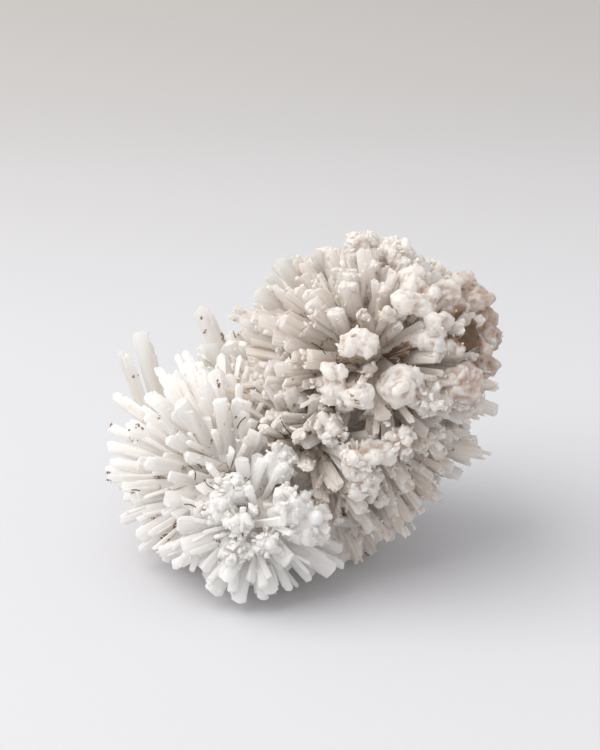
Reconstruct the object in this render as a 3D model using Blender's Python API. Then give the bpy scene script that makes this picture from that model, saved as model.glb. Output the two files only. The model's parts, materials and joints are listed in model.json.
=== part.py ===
"""A cluster of milky selenite: sprays of gypsum blades grown together from one broken root.

Several sprays of blades radiate from centres a few centimetres apart. Most blades are flattened
prisms, narrow at the root and blunt or slanted at the tip. Knobbly lumps crown the upper right
sprays and the front one. Everything grew together, so it is one solid. It rests on the flat of its
root at z = 0. Metres, +Z up; the cluster is seen from -Y, with +X to the right.
"""
import math
import random

import bmesh
import bpy
from mathutils import Matrix, Vector

MM = 0.001
SEED = 7

# Places are given as they look from the front, in a plane that leans back by this angle.
FRONT_LEAN = math.radians(22)
RIGHT = Vector((1, 0, 0))
UP = Vector((0, math.sin(FRONT_LEAN), math.cos(FRONT_LEAN)))
NEAR = Vector((0, -math.cos(FRONT_LEAN), math.sin(FRONT_LEAN)))

# The drawn places are moved by this much, so that the cluster's box is centred over the origin.
ORIGIN_SHIFT = Vector((-0.7, -50.6, 0)) * MM

# Sprays: centre (x, y, z), reach of the ordinary blades, radius of the grown-together core,
# number of ordinary blades before thinning, and their width, all in mm.
SPRAYS = {
    "upper_right": dict(centre=(23, 51, 68), reach=47, core=30, blades=46, width=9.0),
    "left": dict(centre=(-23, 44, 29), reach=45, core=26, blades=40, width=8.0),
    "front": dict(centre=(-15, 17, 25), reach=30, core=19, blades=12, width=6.5),
    "right": dict(centre=(17, 47, 49), reach=42, core=26, blades=20, width=7.5),
    "lower_right": dict(centre=(4, 44, 42), reach=42, core=26, blades=22, width=7.5),
    "back": dict(centre=(-8, 72, 40), reach=41, core=26, blades=52, width=8.5),
}

# Blades that stand out: (to the right, up, reach from the spray's centre, width) in mm.
# A blade whose reach is longer than it looks comes towards the front, or with a minus sign goes away.
HERO_BLADES = {
    "upper_right": [
        (-45, 18, 49, 6.5), (-44, 11, 46, 5), (-39, 26, 48, 7), (-31, 37, 50, 6.5),
        (-23, 36, 46, 5), (-14, 41, 45, 5.5), (-36, -6, 41, 10), (-26, 2, 42, 6),
        (-32, -18, 42, 5), (-12, -26, 40, 5), (44, -7, 47, 3.5), (46, -16, 50, 5.5),
        (-20, 22, 46, 6), (-8, 28, 47, 6), (-30, 15, 47, 6),
    ],
    "left": [
        (-45, 29, -54, 4.5), (-47, 17, -51, 4), (-46, 11, 48, 4), (-47, 2, -47, 3),
        (-39, -3, 46, 3.5), (-42, -9, -44, 3.5), (-37, 18, 47, 5), (-18, 27, 46, 6),
        (-26, 27, 47, 5.5), (4, 28, 44, 6.5), (-10, 33, 45, 5), (-30, 39, -52, 4),
        (-20, 45, -55, 3.5), (-30, 6, 46, 5),
    ],
    "front": [
        (-33, 1, -34, 6.5), (-34, -12, -36, 4.5), (-29, -16, 34, 4), (-25, -9, 31, 6.5),
        (-15, -25, 31, 7), (-6, -28, 31, 5.5), (3, -27, 30, 3.5), (12, -24, 29, 3),
        (19, -21, 29, 3), (27, -18, 33, 6.5), (30, -11, -32, 4), (36, -2, -37, 4),
        (12, -13, 27, 5.5),
    ],
    "right": [
        (43, -5, 45, 4), (48, -12, 50, 5), (37, -17, 43, 4), (29, -20, 42, 3),
        (25, -31, 42, 3.5), (19, -21, 41, 5), (19, -40, 46, 4),
    ],
    "lower_right": [
        (18, -23, 42, 5.5), (26, -34, 45, 5), (17, -42, 46, 4), (30, -36, -47, 4),
        (-5, 4, 39, 5.5), (5, 9, 40, 6), (-2, -8, 38, 5), (9, -15, 41, 5),
    ],
    "back": [],
}

# Lumps that crown blades: (to the right, up, reach of the middle, radius, height over width), in mm.
LUMPS = {
    "upper_right": [
        (-4, 7, 43, 6.3, 1.0), (9, -7, 40, 6.6, 1.35), (-11, -7, 40, 6.8, 1.0),
        (-4, -10, 41, 5.6, 1.1), (21, -11, 40, 7.0, 1.1), (32, -6, 41, 7.6, 1.0),
        (14, 27, 41, 6.4, 1.1), (25, 25, 40, 6.8, 1.0), (23, 15, 41, 7.4, 1.1),
        (11, 19, 42, 5.4, 1.0), (38, 18, 39, 7.8, 1.1), (40, 8, 40, 7.4, 1.2),
        (36, 24, -44, 6.8, 1.0), (2, 41, -42, 6.6, 1.0), (10, 38, 41, 6.6, 1.0),
        (22, 32, -41, 6.8, 1.0), (34, 28, 44, 5.6, 1.0),
    ],
    "left": [],
    "front": [
        (-7, 10, 20, 6.0, 1.1), (-6, -6, 21, 6.6, 1.0), (4, -6, 21, 5.6, 1.0),
        (17, 0, 22, 8.0, 1.1), (10, 7, 21, 7.4, 1.0), (8, 18, 23, 6.6, 1.2),
    ],
    "right": [
        (2, -12, 40, 6.4, 1.2), (4, -19, 39, 6.6, 1.2), (13, -8, 40, 6.6, 1.1),
    ],
    "lower_right": [],
    "back": [],
}

# Pits in the large knobs that face the front: (spray, to the right, up, reach, radius), in mm.
PITS = [
    ("upper_right", -4.5, 9.5, 49.6, 2.2),
    ("upper_right", 9.0, -8.5, 46.8, 2.4),
    ("upper_right", 32.0, -5.0, 48.8, 2.6),
]

# Tall lone crystals behind the left spray: root (x, y, z), tip (x, y, z), width, in mm.
TALL_BLADES = [
    ((-48, 66, 26), (-60, 92, 67), 6.8),
    ((-50, 64, 26), (-65, 84, 61), 3.6),
    ((-52, 68, 28), (-67, 88, 60), 3.6),
    ((-20, 66, 46), (-38, 87, 78), 6.4),
    ((-22, 60, 42), (-35, 75, 68), 8.0),
    ((-12, 62, 48), (-27, 80, 70), 4.5),
]

# Lumps of root: the broken one that the cluster rests on, and the foot of the tall lone crystals.
# Centre and half sizes, in mm.
ROOTS = [
    ((4, 45, 13), (27, 24, 17)),
    ((-41, 61, 27), (13, 13, 14)),
]
ROUND_RADIUS = 6.5          # lumps larger than this have more facets, in mm
LUMP_ROUGHNESS = 0.2        # how far a lump's corners stray from round, as a share of its radius
ROOT_ROUGHNESS = 0.1        # and those of the roots
CORE_ROUGHNESS = 0.14       # and of the cores
CUT_BLOCK = 240 * MM        # side of the block that cuts the root flat
FLOOR_CLEARANCE = 4 * MM    # ordinary blades end at least this far above the rest plane

ROOT_START = 0.28           # a blade starts this share of its reach from the centre, inside the core
ROOT_WIDTH = 0.62           # width at the root over width at the tip
THICKNESS = (0.5, 0.72)     # thickness over width, from thin to stout blades
TIP_SLANT = (0.25, 0.7)     # slope of a tip along its width, from blunt to slanted
CROSS_SLANT = 0.3           # steepest slope of a tip along its thickness
BACK_SLANT = 1.1            # slope of the small face that cuts off a stout blade's high corner
TIP_DROP = 0.25             # the slanted tip starts this many widths below the blade's full length
TWIST = 0.35                # most that a blade that stands out is turned from square on, in radians
STALK_WIDTH = 1.4           # width of the blade under a lump, over the lump's radius
WIDTH_SPREAD = (0.75, 1.3)  # ordinary blades, over their spray's width
HERO_SIDES = 6
STOUT_WIDTH = 5.2           # blades that stand out and are wider than this have six sides, in mm
ORDINARY_SIDES = 4

REACH_SPREAD = (0.84, 1.03)  # ordinary blades, over the spray's reach
SHORTEST_SHOWING = 4 * MM   # a blade that would show less than this above its core is left out
CROWD_ANGLE = math.radians(13)  # ordinary blades keep this far from those that stand out
CROWDED_REACH = 0.92        # a blade that ends nearer than this to another spray's centre is left out
DIRECTION_JITTER = 0.13
GOLDEN_ANGLE = math.pi * (3 - math.sqrt(5))

MILKY_WHITE = (0.80, 0.77, 0.73, 1.0)


def front_direction(right, up, reach):
    """Vector in metres to a place told as it looks from the front; a minus reach lies behind."""
    depth = math.sqrt(max(reach * reach - right * right - up * up, 0.0))
    towards = math.copysign(depth, reach)
    return (RIGHT * right + UP * up + NEAR * towards) * MM


def frame_along(axis, roll):
    """Rotation whose Z runs along axis and whose X, the broad way, is square to the front view."""
    z = axis.normalized()
    x = z.cross(NEAR)
    if x.length < 0.2:
        x = z.cross(UP)
    x.normalize()
    turn = Matrix((x, z.cross(x), z)).transposed()
    return turn @ Matrix.Rotation(roll, 3, "Z")


def slanted_cut(bm, place, normal):
    """Cuts off what lies beyond the plane and closes the cut with one flat face."""
    whole = bm.verts[:] + bm.edges[:] + bm.faces[:]
    cut = bmesh.ops.bisect_plane(
        bm, geom=whole, plane_co=place, plane_no=normal.normalized(), dist=1e-7, clear_outer=True
    )
    rim = [edge for edge in cut["geom_cut"] if isinstance(edge, bmesh.types.BMEdge)]
    if rim:
        bmesh.ops.edgeloop_fill(bm, edges=rim)


def add_blade(target, root, tip, width, sides, rng, roll=None):
    """Adds one flattened prism with a slanted tip to the target bmesh."""
    axis = tip - root
    length = axis.length
    thickness = width * rng.uniform(*THICKNESS)
    corner_radius = 0.5 / math.cos(math.pi / sides)
    blade = bmesh.new()
    bmesh.ops.create_cone(
        blade, cap_ends=True, cap_tris=False, segments=sides,
        radius1=corner_radius * ROOT_WIDTH, radius2=corner_radius, depth=length,
    )
    bmesh.ops.translate(blade, vec=(0, 0, length / 2), verts=blade.verts)
    bmesh.ops.rotate(blade, matrix=Matrix.Rotation(math.pi / sides, 3, "Z"), verts=blade.verts)
    bmesh.ops.scale(blade, vec=(width, thickness, 1), verts=blade.verts)

    # One broad slant across the tip, and on the stouter forms a smaller one back from its high side.
    side = rng.choice((-1, 1))
    cross = rng.uniform(-CROSS_SLANT, CROSS_SLANT)
    top = length - TIP_DROP * width
    slanted_cut(blade, Vector((0, 0, top)), Vector((side * rng.uniform(*TIP_SLANT), cross, 1)))
    if sides > ORDINARY_SIDES:
        high_corner = Vector((-side * width / 3, 0, top))
        slanted_cut(blade, high_corner, Vector((-side * BACK_SLANT, -cross, 1)))

    turn = frame_along(axis, rng.uniform(-TWIST, TWIST) if roll is None else roll)
    bmesh.ops.transform(
        blade, matrix=Matrix.Translation(root) @ turn.to_4x4(), verts=blade.verts
    )
    append(target, blade)


def append(target, source):
    """Copies the source bmesh into the target and frees the source."""
    mesh = bpy.data.meshes.new("piece")
    source.to_mesh(mesh)
    source.free()
    target.from_mesh(mesh)
    bpy.data.meshes.remove(mesh)


def add_lump(target, centre, half_size, detail, roughness, rng):
    """Adds a faceted lump, rounder with more detail, its corners shifted a little at random."""
    lump = bmesh.new()
    bmesh.ops.create_icosphere(lump, subdivisions=detail, radius=1)
    bmesh.ops.rotate(
        lump, matrix=Matrix.Rotation(rng.uniform(0, math.tau), 3, "Z"), verts=lump.verts
    )
    for vert in lump.verts:
        vert.co *= 1 + rng.uniform(-roughness, roughness)
    bmesh.ops.scale(lump, vec=half_size, verts=lump.verts)
    bmesh.ops.translate(lump, vec=centre, verts=lump.verts)
    append(target, lump)


def spray_centre(name):
    return Vector(SPRAYS[name]["centre"]) * MM


def clear_of_floor(centre, direction, reach, core):
    """Reach shortened so that the tip stays above the rest plane, or None if too little shows."""
    if centre.z + direction.z * reach < FLOOR_CLEARANCE:
        reach = (FLOOR_CLEARANCE - centre.z) / direction.z
    return reach if reach > core + SHORTEST_SHOWING else None


def clear_of_sprays(name, tip):
    """True unless the tip ends deep inside another spray."""
    return all(
        (tip - spray_centre(other)).length > CROWDED_REACH * spray["reach"] * MM
        for other, spray in SPRAYS.items()
        if other != name
    )


def add_spray(target, name, rng):
    """Adds one spray: its core, the blades that stand out, its lumps and the ordinary blades."""
    spray = SPRAYS[name]
    centre = spray_centre(name)
    core = spray["core"] * MM
    add_lump(target, centre, (core, core, core), 2, CORE_ROUGHNESS, rng)

    taken = []
    for right, up, reach, width in HERO_BLADES[name]:
        arm = front_direction(right, up, reach)
        taken.append(arm.normalized())
        sides = HERO_SIDES if width > STOUT_WIDTH else ORDINARY_SIDES
        add_blade(target, centre + arm * ROOT_START, centre + arm, width * MM, sides, rng)

    for right, up, reach, radius, stretch in LUMPS[name]:
        arm = front_direction(right, up, reach)
        size = radius * MM
        stalk = size * STALK_WIDTH
        add_blade(target, centre + arm * ROOT_START, centre + arm, stalk, ORDINARY_SIDES, rng)
        detail = 2 if radius > ROUND_RADIUS else 1
        half_size = (size, size, size * stretch)
        add_lump(target, centre + arm, half_size, detail, LUMP_ROUGHNESS, rng)

    count = spray["blades"]
    for index in range(count):
        height = 1 - (2 * index + 1) / count
        around = GOLDEN_ANGLE * index
        ring = math.sqrt(1 - height * height)
        direction = Vector((ring * math.cos(around), ring * math.sin(around), height))
        direction += Vector([rng.uniform(-1, 1) for _ in range(3)]) * DIRECTION_JITTER
        direction.normalize()
        spread = rng.uniform(*REACH_SPREAD)
        width = spray["width"] * rng.uniform(*WIDTH_SPREAD) * MM
        roll = rng.uniform(0, math.pi)
        if any(direction.angle(other) < CROWD_ANGLE for other in taken):
            continue
        reach = clear_of_floor(centre, direction, spread * spray["reach"] * MM, core)
        if reach is None or not clear_of_sprays(name, centre + direction * reach):
            continue
        arm = direction * reach
        add_blade(
            target, centre + arm * ROOT_START, centre + arm, width, ORDINARY_SIDES, rng, roll
        )


def new_object(name, bm, collection):
    mesh = bpy.data.meshes.new(name)
    bm.normal_update()
    bm.to_mesh(mesh)
    bm.free()
    made = bpy.data.objects.new(name, mesh)
    collection.objects.link(made)
    return made


def keep_outer_skin(made):
    """Makes the modelled shape the object's own mesh, with the sealed pockets inside it filled."""
    bpy.context.view_layer.update()
    shape = made.evaluated_get(bpy.context.evaluated_depsgraph_get())
    skin = bmesh.new()
    skin.from_mesh(bpy.data.meshes.new_from_object(shape))
    shells = []
    waiting = set(skin.verts)
    while waiting:
        shell = set()
        edge_of_shell = [waiting.pop()]
        while edge_of_shell:
            vert = edge_of_shell.pop()
            shell.add(vert)
            found = {edge.other_vert(vert) for edge in vert.link_edges} & waiting
            waiting -= found
            edge_of_shell += found
        shells.append(shell)
    outer = max(shells, key=len)
    pockets = [vert for vert in skin.verts if vert not in outer]
    bmesh.ops.delete(skin, geom=pockets, context="VERTS")
    made.modifiers.clear()
    skin.to_mesh(made.data)
    skin.free()


def new_collection(name):
    collection = bpy.data.collections.new(name)
    bpy.context.scene.collection.children.link(collection)
    return collection


def gypsum_material():
    material = bpy.data.materials.new("milky_gypsum")
    material.use_nodes = True
    shader = material.node_tree.nodes["Principled BSDF"]
    shader.inputs["Base Color"].default_value = MILKY_WHITE
    shader.inputs["Roughness"].default_value = 0.35
    shader.inputs["Metallic"].default_value = 0.0
    shader.inputs["IOR"].default_value = 1.52
    material.diffuse_color = MILKY_WHITE
    return material


def as_guide(made):
    made.hide_render = True
    made.display_type = "WIRE"
    made.hide_set(True)


def add_boolean(made, name, operation, operand):
    boolean = made.modifiers.new(name, "BOOLEAN")
    boolean.operation = operation
    boolean.object = operand
    boolean.use_self = True
    return boolean


def build():
    for old in list(bpy.data.objects):
        bpy.data.objects.remove(old)
    rng = random.Random(SEED)
    parts = new_collection("selenite_cluster")
    cutters = new_collection("cutters")

    rest, foot = ROOTS
    root = bmesh.new()
    add_lump(root, Vector(rest[0]) * MM, Vector(rest[1]) * MM, 2, ROOT_ROUGHNESS, rng)
    cluster = new_object("selenite_cluster", root, parts)
    cluster.data.materials.append(gypsum_material())

    grown = bmesh.new()
    add_lump(grown, Vector(foot[0]) * MM, Vector(foot[1]) * MM, 2, ROOT_ROUGHNESS, rng)
    for name in SPRAYS:
        add_spray(grown, name, rng)
    for start, end, width in TALL_BLADES:
        add_blade(grown, Vector(start) * MM, Vector(end) * MM, width * MM, HERO_SIDES, rng)
    sprays = new_object("sprays", grown, cutters)
    as_guide(sprays)
    add_boolean(cluster, "grown_together", "UNION", sprays)

    hollow = bmesh.new()
    for name, right, up, reach, radius in PITS:
        place = spray_centre(name) + front_direction(right, up, reach)
        add_lump(hollow, place, Vector((radius, radius, radius)) * MM, 1, 0, rng)
    bmesh.ops.create_cube(hollow, size=CUT_BLOCK, matrix=Matrix.Translation(
        Vector((0, 0, -CUT_BLOCK / 2)) - ORIGIN_SHIFT
    ))
    below = new_object("pits_and_rest_plane", hollow, cutters)
    as_guide(below)
    add_boolean(cluster, "pits_and_flat", "DIFFERENCE", below)
    keep_outer_skin(cluster)

    for made in (cluster, sprays, below):
        made.location = ORIGIN_SHIFT


build()
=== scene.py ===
"""The looks of a cluster of milky selenite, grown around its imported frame.

Sprays of flattened gypsum blades radiate from centres a few centimetres apart. Knobbly lumps crown the
upper right and the front, a few clear crystals stand alone at the back left, and brown clay and a few
plant fibres sit in the gaps. Lengths in the tables are millimetres; everything made is in metres.
"""
import json
import math
import random

import bmesh
import bpy
from mathutils import Matrix, Vector, noise
from mathutils.bvhtree import BVHTree

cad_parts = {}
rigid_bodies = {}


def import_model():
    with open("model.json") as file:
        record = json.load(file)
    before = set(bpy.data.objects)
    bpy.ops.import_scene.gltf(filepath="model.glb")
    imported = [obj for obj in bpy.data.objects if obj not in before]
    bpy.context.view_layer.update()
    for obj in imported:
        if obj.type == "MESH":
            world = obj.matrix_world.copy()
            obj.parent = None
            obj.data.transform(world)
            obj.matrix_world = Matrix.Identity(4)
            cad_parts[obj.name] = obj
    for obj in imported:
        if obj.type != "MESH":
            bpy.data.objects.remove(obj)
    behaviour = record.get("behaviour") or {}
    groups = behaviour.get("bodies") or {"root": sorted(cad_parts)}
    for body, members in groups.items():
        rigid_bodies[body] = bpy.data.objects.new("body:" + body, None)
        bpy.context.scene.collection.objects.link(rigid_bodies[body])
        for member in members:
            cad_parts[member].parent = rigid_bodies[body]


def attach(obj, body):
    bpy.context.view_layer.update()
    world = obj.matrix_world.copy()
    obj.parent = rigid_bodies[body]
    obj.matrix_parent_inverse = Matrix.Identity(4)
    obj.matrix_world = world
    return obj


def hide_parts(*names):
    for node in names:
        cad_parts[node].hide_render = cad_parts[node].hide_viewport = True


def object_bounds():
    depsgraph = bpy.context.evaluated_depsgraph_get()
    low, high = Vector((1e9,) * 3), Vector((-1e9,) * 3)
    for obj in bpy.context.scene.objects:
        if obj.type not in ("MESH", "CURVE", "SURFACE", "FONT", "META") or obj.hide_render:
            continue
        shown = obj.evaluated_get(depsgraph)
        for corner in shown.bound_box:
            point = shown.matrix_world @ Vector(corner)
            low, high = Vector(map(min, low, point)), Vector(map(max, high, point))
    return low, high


bl_info = {
    "name": "Selenite cluster",
    "version": (1, 0, 0),
    "blender": (4, 5, 0),
    "location": "3D View > Sidebar > Selenite",
    "description": "Grows the crystals, lumps, clay and stage of a milky selenite cluster",
    "category": "Object",
}

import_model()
CAD_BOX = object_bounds()
NODE = "selenite_cluster"
GROWN = ("blades_", "lumps_", "druse_", "clear_", "core_")  # what fine things can lie on
BODY = "root"

MM = 0.001
SEED = 11  # each step draws from a stream of its own, this plus a number
TOUCHING = 1e-6  # points nearer than this, in metres, are one
SHORTEST_DRAW = 0.1  # a direction that is drawn shorter than this is drawn again

# Places are given as they look from the front, in a plane that leans back by this angle.
FRONT_LEAN = math.radians(22)
RIGHT = Vector((1, 0, 0))
UP = Vector((0, math.sin(FRONT_LEAN), math.cos(FRONT_LEAN)))
NEAR = Vector((0, -math.cos(FRONT_LEAN), math.sin(FRONT_LEAN)))

# The drawn places are moved by this much, so that the cluster's box is centred over the origin.
ORIGIN_SHIFT = Vector((-0.7, -50.6, 0)) * MM

# Sprays: centre (x, y, z), reach of the ordinary blades, radius of the massive core, how far in front
# of the centre the hub lies that the blades spring from, number of directions that ordinary blades
# are tried in, and their width, with lengths in mm.
SPRAYS = {
    "upper_right": dict(centre=(23, 51, 68), reach=46, core=24, hub=18, blades=640, width=4.2),
    "left": dict(centre=(-23, 44, 29), reach=45, core=20, hub=22, blades=600, width=3.8),
    "front": dict(centre=(-15, 17, 25), reach=30, core=12, hub=10, blades=170, width=3.8),
    "right": dict(centre=(17, 47, 49), reach=42, core=21, hub=16, blades=460, width=3.8),
    "lower_right": dict(centre=(4, 44, 42), reach=41, core=21, hub=16, blades=460, width=3.8),
    "back": dict(centre=(-8, 72, 40), reach=40, core=22, hub=-8, blades=300, width=5.2),
}

# Blades that stand out: (to the right, up, reach from the spray's centre, width) in mm.
# A blade whose reach is longer than it looks comes towards the front, or with a minus sign goes away.
HERO_BLADES = {
    "upper_right": [
        (-45, 18, 49, 6.5), (-44, 11, 46, 5), (-23, 36, 46, 5), (-14, 41, 45, 5.5),
        (-7, 42, -46, 5), (-36, -6, 41, 10), (-26, 2, 42, 6), (-31, 5, -40, 5),
        (-32, -18, 42, 5), (-12, -26, 40, 5), (-24, -25, 41, 3.5),
        (-28, -14, 39, 4.5), (44, -7, 47, 3.5), (46, -16, 50, 5.5), (37, -18, 44, 3.5),
        (-20, 22, 46, 6), (-8, 28, 47, 6), (-30, 15, 47, 6),
    ],
    "left": [
        (-45, 29, -54, 4.5), (-47, 17, -51, 4), (-46, 11, 48, 4), (-44, 5, 47, 3.5),
        (-47, 2, -47, 3), (-44, 0, 50, 3), (-39, -3, 46, 3.5), (-42, -9, -44, 3.5),
        (-38, -12, -41, 3.5), (-37, 18, 47, 5), (-18, 27, 46, 6), (-26, 27, 47, 5.5),
        (4, 28, 44, 6.5), (11, 16, 40, 4), (-4, 28, 46, 5), (-10, 33, 45, 5),
        (-30, 39, -52, 4), (-23, 44, -54, 2.5), (-20, 45, -55, 3.5), (-30, 6, 46, 5),
    ],
    "front": [
        (-33, 1, -34, 6.5), (-27, -1, 31, 5), (-34, -12, -36, 4.5), (-29, -16, 34, 4),
        (-25, -9, 31, 6.5), (-18, -15, 25, 2.5), (-15, -25, 31, 7), (-6, -28, 31, 5.5),
        (3, -27, 30, 3.5), (3, -22, 29, 3.5), (7, -23, 27, 3), (12, -24, 29, 3),
        (19, -21, 29, 3), (27, -18, 33, 6.5), (30, -11, -32, 4), (31, -17, -35, 3),
        (36, -2, -37, 4), (12, -13, 27, 5.5),
    ],
    "right": [
        (43, -5, 45, 4), (48, -12, 50, 5), (45, -15, -48, 4), (37, -17, 43, 4),
        (32, -17, 42, 3), (29, -20, 42, 3), (29, -25, 41, 3.5), (25, -31, 42, 3.5),
        (22, -36, 44, 3.5), (19, -21, 41, 5), (19, -40, 46, 4), (25, -9, 42, 4),
    ],
    "lower_right": [
        (18, -23, 42, 5.5), (26, -34, 45, 5), (17, -42, 46, 4), (22, -41, -46, 4),
        (22, -19, 41, 5.5), (30, -36, -47, 4), (21, -31, 43, 4), (-5, 4, 39, 5.5),
        (5, 9, 40, 6), (-12, 9, 37, 5), (11, -3, 41, 5), (-2, -8, 38, 5), (9, -15, 41, 5),
        (-13, -1, 37, 4.5), (2, 17, 39, 5), (-8, 19, 40, 5),
    ],
    "back": [],
}

# Clear blades at the edge of the upper right and right sprays, told in the same way.
CLEAR_BLADES = {
    "upper_right": [
        (-39, 26, 48, 5.6), (-31, 37, 50, 5.4), (-35, 32, 47, 4), (-27, 38, 48, 4.5),
        (20, 35, 45, 5.5), (25, 32, 44, 4.5), (16, 38, -45, 4.5), (-18, 40, 46, 4),
        (46, -16, 50, 5), (-44, 15, 48, 3.5),
    ],
    "right": [(46, -9, 47, 4.5), (40, -20, 45, 4), (33, -28, 44, 4)],
}

# Lumps that crown blades: (to the right, up, reach of the middle, radius) in mm, height over width, and
# how the lump has grown: a smooth knob, a popcorn of small lobes, or a druse of tiny crystals.
LUMPS = {
    "upper_right": [
        (-4, 7, 43, 6.3, 1.0, "knob"), (9, -7, 40, 6.6, 1.35, "knob"), (14, -4, 40, 4.4, 1.0, "knob"),
        (-12, -3, 40, 5.2, 1.0, "popcorn"), (-10, -10, 39, 5.6, 1.0, "popcorn"),
        (-4, -10, 41, 5.6, 1.1, "popcorn"), (19, -11, 40, 6.6, 1.1, "druse"),
        (26, -10, 40, 5.0, 1.0, "druse"), (32, -6, 43.5, 7.6, 1.0, "knob"),
        (14, 27, 41, 5.9, 1.1, "popcorn"), (18, 21, 42, 6.1, 1.0, "popcorn"),
        (25, 25, 40, 6.2, 1.0, "popcorn"), (28, 18, 40, 6.0, 1.0, "popcorn"),
        (21, 13, 41, 6.1, 1.1, "popcorn"), (11, 19, 42, 5.4, 1.0, "popcorn"),
        (38, 18, 40, 8.6, 1.1, "popcorn"), (43.5, 10.5, 44.5, 4.0, 1.1, "popcorn"),
        (36, 24, -44, 6.8, 1.0, "popcorn"), (2, 41, -42, 6.4, 1.0, "druse"),
        (-29, -19, 42, 4.0, 1.2, "druse"), (-12, -22, 41, 5.0, 1.0, "druse"),
        (40, 2, 42, 5.6, 1.0, "popcorn"), (32, 10, 38, 7.4, 1.0, "popcorn"),
        (41, 9, 40, 5.6, 1.0, "popcorn"),
        (10, 38, 41, 6.4, 1.0, "druse"), (-3, 42, 43, 4.6, 1.0, "druse"),
        (22, 32, -41, 6.6, 1.0, "druse"), (34, 28, 44, 5.4, 1.0, "popcorn"),
        (20, 6.5, 39, 5.6, 1.0, "popcorn"), (27, 5, 40, 6.0, 1.0, "popcorn"),
    ],
    "front": [
        (-7, 10, 20, 6.0, 1.1, "druse"), (-5, 0, 21, 5.2, 1.0, "druse"),
        (-6, -9, 21, 5.4, 1.0, "druse"), (4, -6, 21, 5.6, 1.0, "druse"),
        (17, 0, 22, 8.0, 1.1, "druse"), (11, 6, 21, 7.2, 1.0, "druse"),
        (-12, 4, 21, 5.6, 1.0, "druse"), (8, 18, 23, 6.6, 1.2, "druse"),
    ],
    "right": [
        (2, -12, 39, 6.2, 1.2, "druse"), (4, -19, 38, 6.2, 1.2, "druse"),
        (9, -10, 40, 5.6, 1.0, "popcorn"), (16, -6, 41, 5.8, 1.1, "druse"),
    ],
}

# How each kind of lump is built: size of its body over its radius, number of lobes round it, and the
# least and greatest size of a lobe over the lump's radius.
LOBES = {
    "knob": (0.95, 3, 0.28, 0.42),
    "popcorn": (0.66, 5, 0.42, 0.66),
    "druse": (0.78, 8, 0.24, 0.42),
}

# Pits in the lumps: (spray, to the right, up, reach, radius) in mm, and how much dust, clay and painted
# shade is laid in each. The first three are in the knobs, and the last is the hollow at the far right,
# whose dark colour is mostly painted shade.
PITS = [
    ("upper_right", -6.0, 10.5, 49.0, 1.4, 1.2),
    ("upper_right", 9.0, -8.5, 46.8, 1.3, 0.9),
    ("upper_right", 31.5, -5.0, 51.0, 3.0, 1.0),
    ("upper_right", 34.5, 10.5, 44.0, 7.0, 2.6),
]

# Deep gaps that no ordinary blade fills: (spray, to the right, up, reach, half angle in degrees).
DEEP_GAPS = [
    ("upper_right", 12, 3.5, 42, 11),
    ("upper_right", 35.5, 9.5, 42, 9),
    ("lower_right", -8, -3, 40, 5),
]

# Blades at the bottom of the first gap, told as the blades that stand out: clay in their lines, and
# their dark colour also painted shade for the deep gap.
CLAY_AND_SHADE_BLADES = {
    "upper_right": [
        (13.8, 6.8, 39, 3.0), (13.4, 4.2, 38.5, 2.4), (10, 1, 34, 4.5), (16, 1, 34, 5),
        (17, 6, 35, 4),
    ],
}

# Clay in the gaps, told as it looks from the front: (to the right of the drawn origin, up from it,
# breadth of the patch) in mm, and the number of crumbs.
CLAY_PATCHES = [
    (-66, 62, 3.0, 5), (-58.5, 58.5, 3.5, 6), (-48.5, 63, 2.5, 4), (-48, 44, 5.0, 10),
    (-67.5, 43, 3.5, 8), (-56.5, 60.5, 2.0, 4), (-58, 38, 2.0, 4), (-29, 75, 2.0, 3),
    (-22.5, 64.5, 2.0, 4), (-32, 55.5, 2.5, 4), (-24, 42, 6.0, 14), (-19, 42, 2.0, 5),
    (-8, 41, 4.5, 9), (-43, 27, 3.5, 12), (-47, 22, 2.5, 8), (-51, 29, 2.0, 4),
    (-30, 20, 3.5, 8), (-57, 78.5, 2.0, 4), (-34, 98.5, 1.5, 4), (-32.5, 94, 1.5, 4),
    (-27, 91, 4.0, 12), (-22, 94, 3.0, 8), (12, 84, 3.0, 8), (20, 71, 3.0, 8),
    (14, 58, 3.0, 7), (30, 66, 3.0, 6), (37, 46, 2.5, 5), (2, 52, 3.0, 7), (-9, 57, 3.0, 7),
    (54, 92, 5.0, 14), (45, 20, 3.0, 6), (23, 17, 3.0, 7),
]

# Plant fibres caught between the crystals: both ends and the bow of each, told as the clay is, in mm.
FIBRES = [
    (-39, 47, -36.8, 42, 1.2), (-36, 47.5, -34.6, 46, 0.4), (-33.5, 42, -30, 39, -0.6),
    (-59, 38.5, -56, 38.2, 0.2), (-40.5, 33.5, -36.5, 32.5, 0.4), (-22, 60, -19, 64, 0.5),
    (-7, 64, -3, 58, -0.6), (4, 90, 9, 86, 0.5),
]
FIBRE_RADIUS = 0.17 * MM
FIBRE_STEPS = 10

# Tall lone crystals behind the left spray: root (x, y, z), tip (x, y, z), width, in mm.
TALL_BLADES = [
    ((-48, 66, 26), (-60, 92, 67), 6.8),
    ((-50, 64, 26), (-65, 84, 61), 3.6),
    ((-52, 68, 28), (-67, 88, 60), 3.6),
    ((-20, 66, 46), (-38, 87, 78), 6.4),
    ((-22, 60, 42), (-35, 75, 68), 8.0),
    ((-12, 62, 48), (-27, 80, 70), 4.5),
]

# The broken root that the cluster rests on, and the foot of the tall lone crystals: centre, half sizes.
ROOTS = [
    ((4, 45, 13), (27, 24, 17)),
    ((-41, 61, 27), (13, 13, 14)),
]

# Numbers of different forms and knobs that are modelled. Each crystal is a stretched copy of one.
ORDINARY_FORMS = 30
HERO_FORMS = 18  # for the blades that stand out
SMALL_FORMS = 12
NUBS = 10
DRUSE_FORMS = 10
SUGAR_FORMS = 6

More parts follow.
